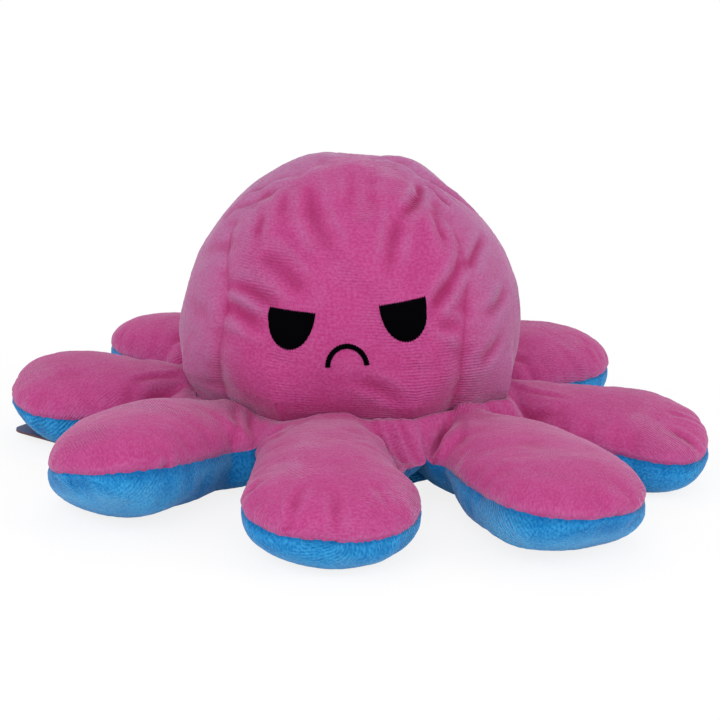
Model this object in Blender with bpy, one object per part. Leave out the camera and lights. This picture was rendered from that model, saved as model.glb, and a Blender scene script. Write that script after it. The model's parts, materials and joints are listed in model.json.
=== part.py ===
"""A stuffed octopus that turns inside out: pink plush outside, blue plush inside.

Metres, +Z up. The origin lies on the floor in the middle of the space that the toy
covers, and the face looks along -Y. The head's axis is an empty a little to the left.
Azimuths are measured about it from -Y toward +X, seen from above.

The head is a thick stuffed dome over a lined hollow. Eight arms lie round its neck.
Each arm is a pillow of three pieces: pink top cloth, blue underside cloth and stuffing.
An arm's root is rounded about its own hinge line, so that it folds without rubbing.
"""
import math

import bmesh
import bpy
import numpy as np

# Cloth, clearances, and the angle from which an edge is drawn sharp
CLOTH = 0.0013
GAP = 0.0003
HALF_GAP = GAP / 2
SHARP_EDGE = math.radians(50)

# The head's axis, set off from the middle of the floor that the arms cover
AXIS_PLACE = (-0.0033, 0.0000, 0.0000)

# Head, from the crown down to the neck
HEAD_RADIUS = 0.0460
HEAD_WIDEST_HEIGHT = 0.0350
HEAD_CROWN_HEIGHT = 0.0822
HEAD_LOWER_ROUNDING = 0.0324
NECK_ANGLE = math.radians(-20.8)
CROWN_OPEN_RADIUS = 0.0015
GORE_COUNT = 4
GORE_COLUMNS = 8
GORE_ROWS = 12

# Seams drawn in between the gores
SEAM_DEPTH = 0.0016
SEAM_WIDTH = math.radians(11)

# Dents of the stuffing in the face: azimuth, polar angle, half spans of both, depth
DENT_DEPTH = 0.0014
DENT_SHARES = (
    (-30.0, 14.0, 9.0, 8.0, 1.0),
    (31.0, 18.0, 10.0, 9.0, 1.0),
    (-8.0, 48.0, 5.0, 12.0, 0.7),
    (24.0, 46.0, 5.0, 14.0, 0.8),
)

# Hollow under the head, and the stuffed walls round it and over it
HEAD_WALL = 0.0130
CROWN_WALL = 0.0142
HOLLOW_RADIUS = HEAD_RADIUS - HEAD_WALL
HOLLOW_SHOULDER_HEIGHT = 0.0300
HOLLOW_CROWN_HEIGHT = HEAD_CROWN_HEIGHT - CROWN_WALL
LINING_ROWS = 8
LINING_STRAIGHT_ROWS = 2

# Hinge line of an arm, and the round of its root
HINGE_OFFSET = 0.0060
HINGE_RADIUS = HEAD_RADIUS + HINGE_OFFSET
HINGE_HEIGHT = 0.0130
ROOT_RADIUS = 0.0130
SOCKET_GAP = 0.00035
BAND_TOP_ANGLE = math.radians(135)
BAND_BOTTOM_ANGLE = math.radians(222)
BAND_STEPS = 4
RIM_HEIGHT = 0.0030

# Arms: sizes that they share
ARM_COUNT = 8
ARM_PITCH = 2 * math.pi / ARM_COUNT
ARM_REACH = 0.1000
ARM_HALF_WIDTH = 0.0222
ARM_SIDE_GAP = 0.0004
ARM_NECK_RISE = 0.0090
ARM_SWELL_LENGTH = 0.0270
ARM_TIP_HALF_WIDTH = 0.0035
FLOOR_CUT = 0.0010
ARM_SIDE_STEPS = 8
ARM_ROOT_STEPS = 4
ARM_BODY_STEPS = 4
ARM_TIP_STEPS = 4
# Where two arms start to part, and the length over which each takes its own width
FORK_START = -0.0020
FORK_LENGTH = 0.0100
# Narrow place on the right side of an arm, and the length over which it fades
WAIST_PLACE = 0.0160
WAIST_LENGTH = 0.0090
# Share of its length at which an arm that tapers to its root has its full width
FULL_WIDTH_SHARE = 0.6
# Powers of the shares that shape an arm: its upper section, its tip, its sweep, its seam
UPPER_SECTION_POWER = 0.86
TIP_OUTLINE_POWER = 2.1
TIP_POWER = 0.75
SWEEP_POWER = 1.5
SEAM_DROP_POWER = 1.5

# Each arm: reach of its tip from the head's axis, as a share of the common reach
ARM_REACH_SHARES = {
    "front": 1.100,
    "front_right": 1.095,
    "right": 0.970,
    "back_right": 1.018,
    "back": 1.115,
    "back_left": 0.924,
    "left": 0.908,
    "front_left": 1.056,
}
# Sideways sweep of the tip
ARM_SWEEPS = {
    "front": -0.0037,
    "front_right": -0.0170,
    "right": -0.0125,
    "back_right": 0.0013,
    "back": 0.0020,
    "back_left": -0.0014,
    "left": -0.0015,
    "front_left": 0.0150,
}
# Left and right half widths as shares of the common one, then how much each is tapered
ARM_WIDTH_SHARES = {
    "front": (0.96, 1.00, 0.00, 0.00),
    "front_right": (1.21, 1.06, 0.36, 0.20),
    "right": (1.19, 0.90, 0.10, 0.19),
    "back_right": (0.89, 1.07, 0.12, 0.10),
    "back": (0.99, 0.99, 0.10, 0.10),
    "back_left": (1.00, 0.86, 0.10, 0.17),
    "left": (1.02, 1.17, 0.43, 0.10),
    "front_left": (0.95, 0.95, 0.34, 0.21),
}
ARM_WAIST_SHARES = {"front": 0.27}
# Fullness of the top above the seam
ARM_FULLNESSES = {
    "front": 0.0098,
    "front_right": 0.0092,
    "right": 0.0078,
    "back_right": 0.0117,
    "back": 0.0105,
    "back_left": 0.0104,
    "left": 0.0084,
    "front_left": 0.0111,
}
# How far the seam sinks toward the tip, and how much higher it is on the right side
ARM_SEAM_DROPS = {
    "front": 0.0028,
    "front_right": -0.0006,
    "right": 0.0005,
    "back_right": 0.0008,
    "back": 0.0010,
    "back_left": 0.0011,
    "left": 0.0006,
    "front_left": -0.0025,
}
ARM_SEAM_TILTS = {
    "front": -0.0005,
    "front_right": -0.0009,
    "right": 0.0026,
    "back_right": 0.0008,
    "back": 0.0000,
    "back_left": 0.0013,
    "left": -0.0022,
    "front_left": 0.0032,
}
ARM_TIP_ROUNDINGS = {
    "front": 0.0220,
    "front_right": 0.0246,
    "right": 0.0195,
    "back_right": 0.0260,
    "back": 0.0250,
    "back_left": 0.0252,
    "left": 0.0226,
    "front_left": 0.0266,
}
# Power of the share that shapes the underside's section: the lower, the boxier
ARM_LOWER_POWERS = {
    "front": 0.76,
    "front_right": 0.58,
    "right": 0.62,
    "back_right": 0.72,
    "back": 0.72,
    "back_left": 0.72,
    "left": 0.82,
    "front_left": 0.54,
}
ARM_FLOOR_GAPS = {"left": 0.0030}

# Embroidered face: distances along the cloth from the head's front line, and heights
THREAD = 0.0008
FACE_ACROSS = -0.0008
FACE_HEIGHT = 0.0465
FACE_TILT = math.radians(5.5)
EYE_RADIUS = 0.0063
EYE_CUT = 0.0034
EYE_OFFSET = 0.0153
EYE_SLANT = math.radians(5.5)
EYE_ANGLE_STEPS = 20
EYE_RINGS = 2
MOUTH_RADIUS = 0.0050
MOUTH_STROKE = 0.0012
MOUTH_DROP = 0.0110
MOUTH_STEPS = 14
MOUTH_HALF_ANGLE = math.radians(82)

# Face on the lining, for the toy turned inside out
LINING_FACE_HEIGHT = 0.0260
LINING_EYE_RADIUS = 0.0045
LINING_EYE_OFFSET = 0.0110
LINING_SMILE_DROP = 0.0050

# Swing tag under the left arm, hung by its punched corner on a nylon fastener
TAG_LENGTH = 0.0320
TAG_WIDTH = 0.0200
TAG_THICKNESS = 0.0006
TAG_CORNER = 0.0030
TAG_CORNER_STEPS = 4
TAG_HOLE_RADIUS = 0.0015
TAG_HOLE_FROM_END = 0.0035
TAG_HOLE_FROM_SIDE = 0.0075
TAG_HOLE_STEPS = 16
TAG_TILT = math.radians(3)
TAG_TURN = math.radians(-28)
TAG_HOLE_FROM_TIP = 0.0072
TAG_HOLE_FROM_AXIS = TAG_HOLE_FROM_TIP - ARM_REACH * ARM_REACH_SHARES["left"]
TAG_HOLE_FORWARD = -0.0010
TAG_HOLE_HEIGHT = 0.0022
TAG_HOLE_PLACE = (TAG_HOLE_FROM_AXIS, TAG_HOLE_FORWARD, TAG_HOLE_HEIGHT)
FASTENER_WIDTH = 0.0008
FASTENER_BAR = 0.0050
FASTENER_BAR_DROP = 0.00065

# Colours, roughness and metallic share of each material
MATERIALS = {
    "pink_plush": ((0.52, 0.055, 0.21), 0.9, 0.0),
    "blue_plush": ((0.022, 0.21, 0.56), 0.9, 0.0),
    "black_thread": ((0.006, 0.006, 0.008), 0.45, 0.0),
    "white_stuffing": ((0.85, 0.85, 0.83), 1.0, 0.0),
    "navy_card": ((0.035, 0.04, 0.10), 0.5, 0.0),
    "clear_nylon": ((0.80, 0.80, 0.80), 0.35, 0.0),
}


def clear_scene():
    """Remove whatever the file holds."""
    for item in list(bpy.data.objects):
        bpy.data.objects.remove(item, do_unlink=True)


def make_material(name):
    """A Principled material with the named colour, roughness and metallic share."""
    colour, roughness, metallic = MATERIALS[name]
    material = bpy.data.materials.new(name)
    material.use_nodes = True
    shader = material.node_tree.nodes["Principled BSDF"]
    shader.inputs["Base Color"].default_value = (*colour, 1)
    shader.inputs["Roughness"].default_value = roughness
    shader.inputs["Metallic"].default_value = metallic
    return material


def make_piece(name, vertices, faces, material, parent=None):
    """One closed, outward-facing mesh object, under its parent where it has one."""
    mesh = bpy.data.meshes.new(name)
    mesh.from_pydata([tuple(map(float, point)) for point in vertices], [], faces)
    work = bmesh.new()
    work.from_mesh(mesh)
    bmesh.ops.recalc_face_normals(work, faces=work.faces)
    if work.calc_volume(signed=True) < 0:
        bmesh.ops.reverse_faces(work, faces=work.faces)
    work.to_mesh(mesh)
    work.free()
    mesh.shade_smooth()
    mesh.set_sharp_from_angle(angle=SHARP_EDGE)
    mesh.materials.append(bpy.data.materials[material])
    piece = bpy.data.objects.new(name, mesh)
    bpy.context.collection.objects.link(piece)
    piece.parent = parent or bpy.data.objects["axis"]
    return piece


def make_empty(name, place, turn, parent=None):
    """An empty that marks an axis."""
    empty = bpy.data.objects.new(name, None)
    bpy.context.collection.objects.link(empty)
    empty.location = place
    empty.rotation_euler = turn
    empty.parent = parent
    return empty


def grid_triangles(rows, columns, start=0, flip=False):
    """Triangles over a grid of points stored row by row from one index on."""
    triangles = []
    for row in range(rows - 1):
        for column in range(columns - 1):
            a = start + row * columns + column
            b = a + 1
            c = a + columns
            d = c + 1
            pair = [(a, b, d), (a, d, c)]
            triangles += [face[::-1] for face in pair] if flip else pair
    return triangles


def grid_border(rows, columns):
    """Indices round the edge of a grid, in order."""
    bottom = list(range(columns))
    right = [row * columns + columns - 1 for row in range(1, rows)]
    top = [(rows - 1) * columns + column for column in range(columns - 2, -1, -1)]
    left = [row * columns for row in range(rows - 2, 0, -1)]
    return bottom + right + top + left


def sheet_solid(name, outside, inside, material, parent=None):
    """A curved sheet between two grids of the same size, closed round its edge."""
    rows, columns = outside.shape[:2]
    count = rows * columns
    vertices = np.concatenate([outside.reshape(-1, 3), inside.reshape(-1, 3)])
    faces = grid_triangles(rows, columns)
    faces += grid_triangles(rows, columns, count, flip=True)
    border = grid_border(rows, columns)
    for here, there in zip(border, border[1:] + border[:1]):
        faces += [(there, here, here + count), (there, here + count, there + count)]
    return make_piece(name, vertices, faces, material, parent)


def pillow_solid(name, upper, lower, material, parent=None):
    """A pillow between two grids that share their edge points."""
    rows, columns = upper.shape[:2]
    border = set(grid_border(rows, columns))
    vertices = list(upper.reshape(-1, 3))
    places = {}
    for index, point in enumerate(lower.reshape(-1, 3)):
        if index in border:
            places[index] = index
        else:
            places[index] = len(vertices)
            vertices.append(point)
    faces = grid_triangles(rows, columns)
    under = grid_triangles(rows, columns, flip=True)
    faces += [tuple(places[index] for index in face) for face in under]
    return make_piece(name, vertices, faces, material, parent)


def around(azimuth, radius, height):
    """Points at azimuths, radii and heights, which may be arrays that fit each other."""
    places = radius * np.sin(azimuth), -radius * np.cos(azimuth), height
    return np.stack(np.broadcast_arrays(*places), axis=-1)


def sector_scale(azimuth):
    """How much farther a regular polygon reaches here than at the middle of a side."""
    local = (azimuth + ARM_PITCH / 2) % ARM_PITCH - ARM_PITCH / 2
    return 1 / np.cos(local)


def head_swell(azimuth, polar):
    """Share of the plain dome that is left at the seams and the dents of the face."""
    gore_pitch = 2 * math.pi / GORE_COUNT
    seam = (azimuth + gore_pitch) % gore_pitch - gore_pitch / 2
    share = 1 - SEAM_DEPTH / HEAD_RADIUS * np.exp(-((seam / SEAM_WIDTH) ** 2))
    for dent_azimuth, dent_polar, width, height, depth in DENT_SHARES:
        turned = azimuth - math.radians(dent_azimuth)
        across = np.degrees(np.arctan2(np.sin(turned), np.cos(turned))) / width
        along = (np.degrees(polar) - dent_polar) / height
        share = share - DENT_DEPTH / HEAD_RADIUS * depth * np.exp(-(across**2) - along**2)
    return share


def head_points(azimuth, polar, depth):
    """Points on the head's dome, a depth under its outer face."""
    neck_share = np.clip(polar / NECK_ANGLE, 0, 1)
    rise = np.where(polar > 0, HEAD_CROWN_HEIGHT - HEAD_WIDEST_HEIGHT, HEAD_LOWER_ROUNDING)
    swell = head_swell(azimuth, polar)
    radius = (HEAD_RADIUS - depth) * np.cos(polar) * swell
    radius = radius * (1 + neck_share * (sector_scale(azimuth) - 1))
    height = HEAD_WIDEST_HEIGHT + (rise - depth) * np.sin(polar) * swell
    return around(azimuth, radius, height)


def lining_points(azimuth, share, depth):
    """Points on the lining of the hollow, a depth behind the face that is seen."""
    radius = HOLLOW_RADIUS + depth
    shoulder_share = LINING_STRAIGHT_ROWS / LINING_ROWS
    start = RIM_HEIGHT + CLOTH + GAP
    straight = np.clip(share / shoulder_share, 0, 1)
    last = math.acos(CROWN_OPEN_RADIUS / HOLLOW_RADIUS)
    polar = np.clip((share - shoulder_share) / (1 - shoulder_share), 0, 1) * last
    rise = HOLLOW_CROWN_HEIGHT - HOLLOW_SHOULDER_HEIGHT + depth
    height = start + (HOLLOW_SHOULDER_HEIGHT - start) * straight + rise * np.sin(polar)
    return around(azimuth, radius * np.cos(polar), height)


def gore_azimuths(middle, reach):
    """Columns of a gore, whose edges keep half a gap to the seam planes."""
    half = math.pi / GORE_COUNT
    edge = half - np.arcsin(HALF_GAP / reach)
    return middle + np.linspace(-1, 1, GORE_COLUMNS + 1)[None, :] * edge[:, None]


def gore_names(prefix):
    """Names and middle azimuths of the four gores, from the front one round."""
    sides = ("front", "right", "back", "left")
    return [(f"{prefix}_{side}", 2 * math.pi / GORE_COUNT * at) for at, side in enumerate(sides)]


def head_polars():
    """Polar angles of the head's rows, from the neck to the opening at the crown."""
    last = math.acos(CROWN_OPEN_RADIUS / HEAD_RADIUS)
    return np.linspace(NECK_ANGLE, last, GORE_ROWS + 1)


def build_head_gores():
    """Four pink cloth gores that make the outside of the head."""
    polars = head_polars()
    for name, middle in gore_names("head_gore"):
        azimuths = gore_azimuths(middle, (HEAD_RADIUS - CLOTH) * np.cos(polars))
        polar = np.broadcast_to(polars[:, None], azimuths.shape)
        outside = head_points(azimuths, polar, 0)
        inside = head_points(azimuths, polar, CLOTH)
        sheet_solid(name, outside, inside, "pink_plush")


def build_lining_gores():
    """Four blue cloth gores that line the hollow."""
    shares = np.linspace(1, 0, LINING_ROWS + 1)
    reach = np.linalg.norm(lining_points(0, shares, 0)[:, :2], axis=1)
    for name, middle in gore_names("lining_gore"):
        azimuths = gore_azimuths(middle, reach)
        share = np.broadcast_to(shares[:, None], azimuths.shape)
        seen = lining_points(azimuths, share, 0)
        hidden = lining_points(azimuths, share, CLOTH)
        sheet_solid(name, hidden, seen, "blue_plush")


def socket_arc(first, last, distance, steps):
    """Profile points round the hinge line of the arms, as radius and height."""
    angles = np.linspace(first, last, steps + 1)
    radius = HINGE_RADIUS + distance * np.cos(angles)
    height = HINGE_HEIGHT + distance * np.sin(angles)
    return np.stack([radius, height], axis=-1)


def turned_grid(profile, corner_shares):
    """A profile turned through the full circle, widened to the arms' polygon by shares."""
    count = GORE_COUNT * GORE_COLUMNS
    azimuth = np.arange(count) * 2 * math.pi / count
    widen = 1 + corner_shares[:, None] * (sector_scale(azimuth)[None, :] - 1)
    radius = profile[:, 0][:, None] * widen
    return around(azimuth[None, :], radius, profile[:, 1][:, None])


def turned_ring(name, profile, corner_shares, material):
    """A closed ring from a closed profile."""
    points = turned_grid(profile, corner_shares)
    rows, columns = points.shape[:2]
    faces = []
    for row in range(rows):
        above = (row + 1) % rows
        for column in range(columns):
            beside = (column + 1) % columns
            a = row * columns + column
            b = row * columns + beside
            c = above * columns + column
            d = above * columns + beside
            faces += [(a, b, d), (a, d, c)]
    return make_piece(name, points.reshape(-1, 3), faces, material)


def build_neck_band():
    """Pink cloth band that the arms' tops fold against, under the head's gores."""
    seam = math.pi - HALF_GAP / ROOT_RADIUS
    near = socket_arc(seam, BAND_TOP_ANGLE, ROOT_RADIUS + SOCKET_GAP, BAND_STEPS)
    far = socket_arc(BAND_TOP_ANGLE, seam, ROOT_RADIUS + SOCKET_GAP + CLOTH, BAND_STEPS)
    profile = np.concatenate([near, far])
    turned_ring("neck_band", profile, np.ones(len(profile)), "pink_plush")


def underside_profile():
    """Profile of the blue band, with the points that keep to the round rim last."""
    seam = math.pi + HALF_GAP / ROOT_RADIUS
    distance = ROOT_RADIUS + SOCKET_GAP
    lip = RIM_HEIGHT + CLOTH
    turn = math.pi + math.asin((HINGE_HEIGHT - lip) / (distance + CLOTH))
    near = socket_arc(seam, BAND_BOTTOM_ANGLE, distance, BAND_STEPS)
    far = socket_arc(turn, seam, distance + CLOTH, BAND_STEPS)
    heel = near[-1] - (CLOTH, near[-1][1] - RIM_HEIGHT)
    rim = np.array([(HOLLOW_RADIUS, RIM_HEIGHT), (HOLLOW_RADIUS, lip)])
    profile = np.concatenate([near, [heel], rim, far])
    shares = np.ones(len(profile))
    shares[len(near) + 1:len(near) + 3] = 0
    return profile, shares


def build_underside_band():
    """Blue cloth band from the arms' undersides in to the rim of the hollow."""
    profile, shares = underside_profile()
    turned_ring("underside_band", profile, shares, "blue_plush")


def build_head_stuffing():
    """One thick wad of fibre between the pink gores and the lining."""
    count = GORE_COUNT * GORE_COLUMNS
    azimuth = np.arange(count) * 2 * math.pi / count
    depth = CLOTH + GAP
    shares = np.linspace(1, 0, LINING_ROWS + 1)[:, None]
    inner = lining_points(azimuth[None, :], shares, depth)
    distance = ROOT_RADIUS + SOCKET_GAP + depth
    floor_height = RIM_HEIGHT + depth
    band_end = math.pi + math.asin((HINGE_HEIGHT - floor_height) / distance)
    band = socket_arc(band_end, BAND_TOP_ANGLE, distance, BAND_STEPS)
    side = turned_grid(band, np.ones(len(band)))
    outer = head_points(azimuth[None, :], head_polars()[:, None], depth)
    points = np.concatenate([inner, side, outer]).reshape(-1, 3)
    rows = len(points) // count
    faces = []
    for row in range(rows - 1):
        for column in range(count):
            a = row * count + column
            b = row * count + (column + 1) % count
            c = a + count
            d = b + count
            faces += [(a, b, d), (a, d, c)]
    vault = len(points)
    crown = vault + 1
    vault_point = (0, 0, inner[0, :, 2].mean())
    crown_point = (0, 0, outer[-1, :, 2].mean())
    points = np.concatenate([points, [vault_point, crown_point]])
    last = (rows - 1) * count
    for column in range(count):
        beside = (column + 1) % count
        faces += [(vault, beside, column), (crown, last + column, last + beside)]
    make_piece("head_stuffing", points, faces, "white_stuffing")


def ease(share):
    """A share kept from 0 to 1 and eased at both ends."""
    share = np.clip(share, 0, 1)
    return share * share * (3 - 2 * share)


def arm_stations(length, tip_length):
    """Distances from the hinge line, and the shares that round the root and the tip."""
    root_angles = np.linspace(0, math.pi / 2, ARM_ROOT_STEPS + 1)[:-1]
    tip_angles = np.linspace(0, math.pi / 2, ARM_TIP_STEPS + 1)
    tip_start = length - tip_length
    root = -ROOT_RADIUS * np.cos(root_angles)
    body = np.linspace(0, tip_start, ARM_BODY_STEPS + 1)[:-1]
    tip = tip_start + tip_length * np.sin(tip_angles)
    along = np.concatenate([root, body, tip])
    root_rounding = np.sqrt(1 - np.clip(-along / ROOT_RADIUS, 0, 1) ** 2)
    tip_share = np.clip((along - tip_start) / tip_length, 0, 1)
    tip_rounding = np.sqrt(1 - tip_share**TIP_OUTLINE_POWER)
    return along, root_rounding, tip_rounding


def arm_half_widths(name, length, along, tip_rounding):
    """Half widths of an arm's left and right sides, kept inside its own wedge."""
    left, right, left_taper, right_taper = ARM_WIDTH_SHARES[name]
    wedge = (HINGE_RADIUS + along) * math.tan(ARM_PITCH / 2) - ARM_SIDE_GAP
    to_full = 1 - np.clip(along / (FULL_WIDTH_SHARE * length), 0, 1)
    waist = ARM_WAIST_SHARES.get(name, 0) * np.exp(-(((along - WAIST_PLACE) / WAIST_LENGTH) ** 2))
    parted = ease((along - FORK_START) / FORK_LENGTH)
    sides = []
    for share, taper, narrowed in ((left, left_taper, 0), (right, right_taper, waist)):
        own = ARM_HALF_WIDTH * share * (1 - taper * to_full**2 - narrowed)
        side = wedge + (np.minimum(own, wedge) - wedge) * parted
        sides.append(ARM_TIP_HALF_WIDTH + (side - ARM_TIP_HALF_WIDTH) * tip_rounding)
    return sides


def arm_grid(name, depth, side, seam_gap=0):
    """Points of an arm's layer in its hinge frame: X outward, Y across, Z up.

    The side is +1 for the upper half and -1 for the lower one, which is cut flat at
    the floor. Where the thickness is nought, the layer ends on the seam line.
    """
    length = ARM_REACH * ARM_REACH_SHARES[name] - HINGE_RADIUS
    along, root_rounding, tip_rounding = arm_stations(length, ARM_TIP_ROUNDINGS[name])
    left, right = arm_half_widths(name, length, along, tip_rounding)
    turn = np.linspace(0, math.pi, ARM_SIDE_STEPS + 1)[None, :]
    half_width = np.where(np.cos(turn) > 0, left[:, None], right[:, None])
    outward = np.clip(along / length, 0, 1)
    seam_drop = ARM_SEAM_DROPS[name] * outward**SEAM_DROP_POWER
    seam_tilt = (ARM_SEAM_TILTS[name] * outward)[:, None] * half_width / ARM_HALF_WIDTH
    if side > 0:
        swell = ease((along + ARM_NECK_RISE) / ARM_SWELL_LENGTH)
        level = ARM_NECK_RISE + (ARM_FULLNESSES[name] - ARM_NECK_RISE) * swell
        thickness = np.minimum(level, ROOT_RADIUS * root_rounding)
        power = UPPER_SECTION_POWER
    else:
        cut = FLOOR_CUT * np.clip(along / ROOT_RADIUS, 0, 1)
        level = ROOT_RADIUS - seam_drop + cut
        thickness = level * root_rounding
        power = ARM_LOWER_POWERS[name]
    thickness = thickness * tip_rounding**TIP_POWER * (1 - depth / level)
    middle = (length - ROOT_RADIUS) / 2
    half_length = (length + ROOT_RADIUS) / 2
    sweep = ARM_SWEEPS[name] * outward**SWEEP_POWER
    along = middle + (along - middle) * (half_length - depth) / half_length
    half_width = half_width * (ARM_HALF_WIDTH - depth) / ARM_HALF_WIDTH
    across = sweep[:, None] - half_width * np.cos(turn)
    bulge = thickness[:, None] * np.clip(np.sin(turn), 0, 1) ** power
    seam = -seam_drop[:, None] - seam_tilt * np.cos(turn)
    height = seam + side * (bulge + seam_gap)
    if side < 0:
        floor = depth - HINGE_HEIGHT + ARM_FLOOR_GAPS.get(name, 0)
        height = np.maximum(height, floor)
    return np.stack(np.broadcast_arrays(along[:, None], across, height), axis=-1)


def build_arm(name, azimuth):
    """One arm on the empty that marks its hinge line."""
    place = around(azimuth, HINGE_RADIUS, HINGE_HEIGHT)
    turn = (0, 0, azimuth - math.pi / 2)
    hinge = make_empty(f"hinge_arm_{name}", place, turn, bpy.data.objects["axis"])
    top = arm_grid(name, 0, 1, HALF_GAP)
    top_inside = arm_grid(name, CLOTH, 1, HALF_GAP)
    sheet_solid(f"arm_{name}_top", top, top_inside, "pink_plush", hinge)
    under = arm_grid(name, 0, -1, HALF_GAP)
    under_inside = arm_grid(name, CLOTH, -1, HALF_GAP)
    sheet_solid(f"arm_{name}_underside", under, under_inside, "blue_plush", hinge)
    upper = arm_grid(name, CLOTH + GAP, 1)
    lower = arm_grid(name, CLOTH + GAP, -1)
    pillow_solid(f"arm_{name}_stuffing", upper, lower, "white_stuffing", hinge)


def build_arms():
    """Eight arms, from the front one round toward +X."""
    for place, name in enumerate(ARM_REACH_SHARES):
        build_arm(name, place * ARM_PITCH)


def on_head(across, height, lift):
    """Points over the head's cloth, from distances along it and heights."""
    rise = HEAD_CROWN_HEIGHT - HEAD_WIDEST_HEIGHT
    low = (height - HEAD_WIDEST_HEIGHT) / HEAD_LOWER_ROUNDING
    high = (height - HEAD_WIDEST_HEIGHT) / rise
    polar = np.arcsin(np.where(high > 0, high, low))
    return head_points(across / HEAD_RADIUS, polar, -lift)


def on_lining(across, height, lift):
    """Points over the upright part of the lining, inside the hollow."""
    azimuth = across / HOLLOW_RADIUS
    radius = HOLLOW_RADIUS - lift
    return around(azimuth, radius, height)


def face_point(across, up, centre, tilt):
    """Turn a place in the face's own frame to one on the cloth."""
    return (
        centre[0] + across * math.cos(tilt) - up * math.sin(tilt),
        centre[1] + across * math.sin(tilt) + up * math.cos(tilt),
    )


def build_eye(name, surface, centre, radius, cut, slant):
    """A satin-stitched disc, cut straight above its middle, that follows the cloth."""
    turn = np.arange(EYE_ANGLE_STEPS) * 2 * math.pi / EYE_ANGLE_STEPS
    reach = np.minimum(radius, cut / np.maximum(np.cos(turn), cut / (2 * radius)))
    rings = np.linspace(0, 1, EYE_RINGS + 1)[1:, None] * reach[None, :]
    across = np.concatenate([[0], (rings * np.sin(turn)).ravel()])
    up = np.concatenate([[0], (rings * np.cos(turn)).ravel()])
    across, height = face_point(across, up, centre, slant)
    under = surface(across, height, GAP)
    over = surface(across, height, GAP + THREAD)
    count = len(under)
    faces = []
    for step in range(EYE_ANGLE_STEPS):
        beside = (step + 1) % EYE_ANGLE_STEPS
        faces += [(0, 1 + step, 1 + beside), (count, count + 1 + beside, count + 1 + step)]
        for ring in range(EYE_RINGS - 1):
            a = 1 + ring * EYE_ANGLE_STEPS + step
            b = 1 + ring * EYE_ANGLE_STEPS + beside
            c = a + EYE_ANGLE_STEPS
            d = b + EYE_ANGLE_STEPS
            faces += [(a, c, d), (a, d, b)]
            faces += [(a + count, d + count, c + count), (a + count, b + count, d + count)]
        a = 1 + (EYE_RINGS - 1) * EYE_ANGLE_STEPS + step
        b = 1 + (EYE_RINGS - 1) * EYE_ANGLE_STEPS + beside
        faces += [(a, a + count, b + count), (a, b + count, b)]
    make_piece(name, np.concatenate([under, over]), faces, "black_thread")


def build_mouth(name, surface, centre, radius, tilt, up):
    """A stitched arc that arches up or down, that follows the cloth."""
    turn = np.linspace(-MOUTH_HALF_ANGLE, MOUTH_HALF_ANGLE, MOUTH_STEPS + 1)[:, None]
    reach = radius + np.array([-1, 1])[None, :] * MOUTH_STROKE / 2
    across, height = face_point(reach * np.sin(turn), up * reach * np.cos(turn), centre, tilt)
    under = surface(across, height, GAP)
    over = surface(across, height, GAP + THREAD)
    sheet_solid(name, over, under, "black_thread")


def build_faces():
    """The cross face on the pink head and the glad one on the blue lining."""
    middle = (FACE_ACROSS, FACE_HEIGHT)
    for name, side in (("eye_left", -1), ("eye_right", 1)):
        centre = face_point(side * EYE_OFFSET, 0, middle, FACE_TILT)
        slant = FACE_TILT + side * EYE_SLANT
        build_eye(name, on_head, centre, EYE_RADIUS, EYE_CUT, slant)
    centre = face_point(0, -MOUTH_DROP, middle, FACE_TILT)
    build_mouth("mouth", on_head, centre, MOUTH_RADIUS, FACE_TILT, 1)
    for name, side in (("lining_eye_left", -1), ("lining_eye_right", 1)):
        centre = (side * LINING_EYE_OFFSET, LINING_FACE_HEIGHT)
        build_eye(name, on_lining, centre, LINING_EYE_RADIUS, LINING_EYE_RADIUS, 0)
    centre = (0, LINING_FACE_HEIGHT - LINING_SMILE_DROP)
    build_mouth("lining_smile", on_lining, centre, MOUTH_RADIUS, 0, -1)


def prism(name, outline, bottom, top, material, parent):
    """A flat outline, carried from one height to another."""
    count = len(outline)
    vertices = [(*point, bottom) for point in outline] + [(*point, top) for point in outline]
    faces = [tuple(range(count))[::-1], tuple(range(count, 2 * count))]
    for step in range(count):
        beside = (step + 1) % count
        faces.append((step, beside, beside + count, step + count))
    return make_piece(name, vertices, faces, material, parent)


def tag_outline():
    """A card with round corners, in the frame of its hole."""
    left, right = -TAG_HOLE_FROM_END, TAG_LENGTH - TAG_HOLE_FROM_END
    low, high = -TAG_HOLE_FROM_SIDE, TAG_WIDTH - TAG_HOLE_FROM_SIDE
    corners = (
        (right - TAG_CORNER, low + TAG_CORNER, -math.pi / 2),
        (right - TAG_CORNER, high - TAG_CORNER, 0),
        (left + TAG_CORNER, high - TAG_CORNER, math.pi / 2),
        (left + TAG_CORNER, low + TAG_CORNER, math.pi),
    )
    outline = []
    for x, y, start in corners:
        for step in range(TAG_CORNER_STEPS + 1):
            angle = start + step / TAG_CORNER_STEPS * math.pi / 2
            outline.append((x + TAG_CORNER * math.cos(angle), y + TAG_CORNER * math.sin(angle)))
    return outline


def build_tag():
    """The card, which swivels about the empty in its hole, and the fastener through it."""
    turn = (0, TAG_TILT, TAG_TURN)
    hinge = make_empty("hinge_swing_tag", TAG_HOLE_PLACE, turn, bpy.data.objects["axis"])
    half = TAG_THICKNESS / 2
    card = prism("swing_tag", tag_outline(), -half, half, "navy_card", hinge)
    angles = [step * 2 * math.pi / TAG_HOLE_STEPS for step in range(TAG_HOLE_STEPS)]
    circle = [(TAG_HOLE_RADIUS * math.cos(a), TAG_HOLE_RADIUS * math.sin(a)) for a in angles]
    cutter = prism("tag_hole_cutter", circle, -TAG_THICKNESS, TAG_THICKNESS, "navy_card", hinge)
    cutter.hide_render = True
    cutter.display_type = "WIRE"
    hole = card.modifiers.new("hole", "BOOLEAN")
    hole.operation = "DIFFERENCE"
    hole.object = cutter
    build_fastener()


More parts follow.
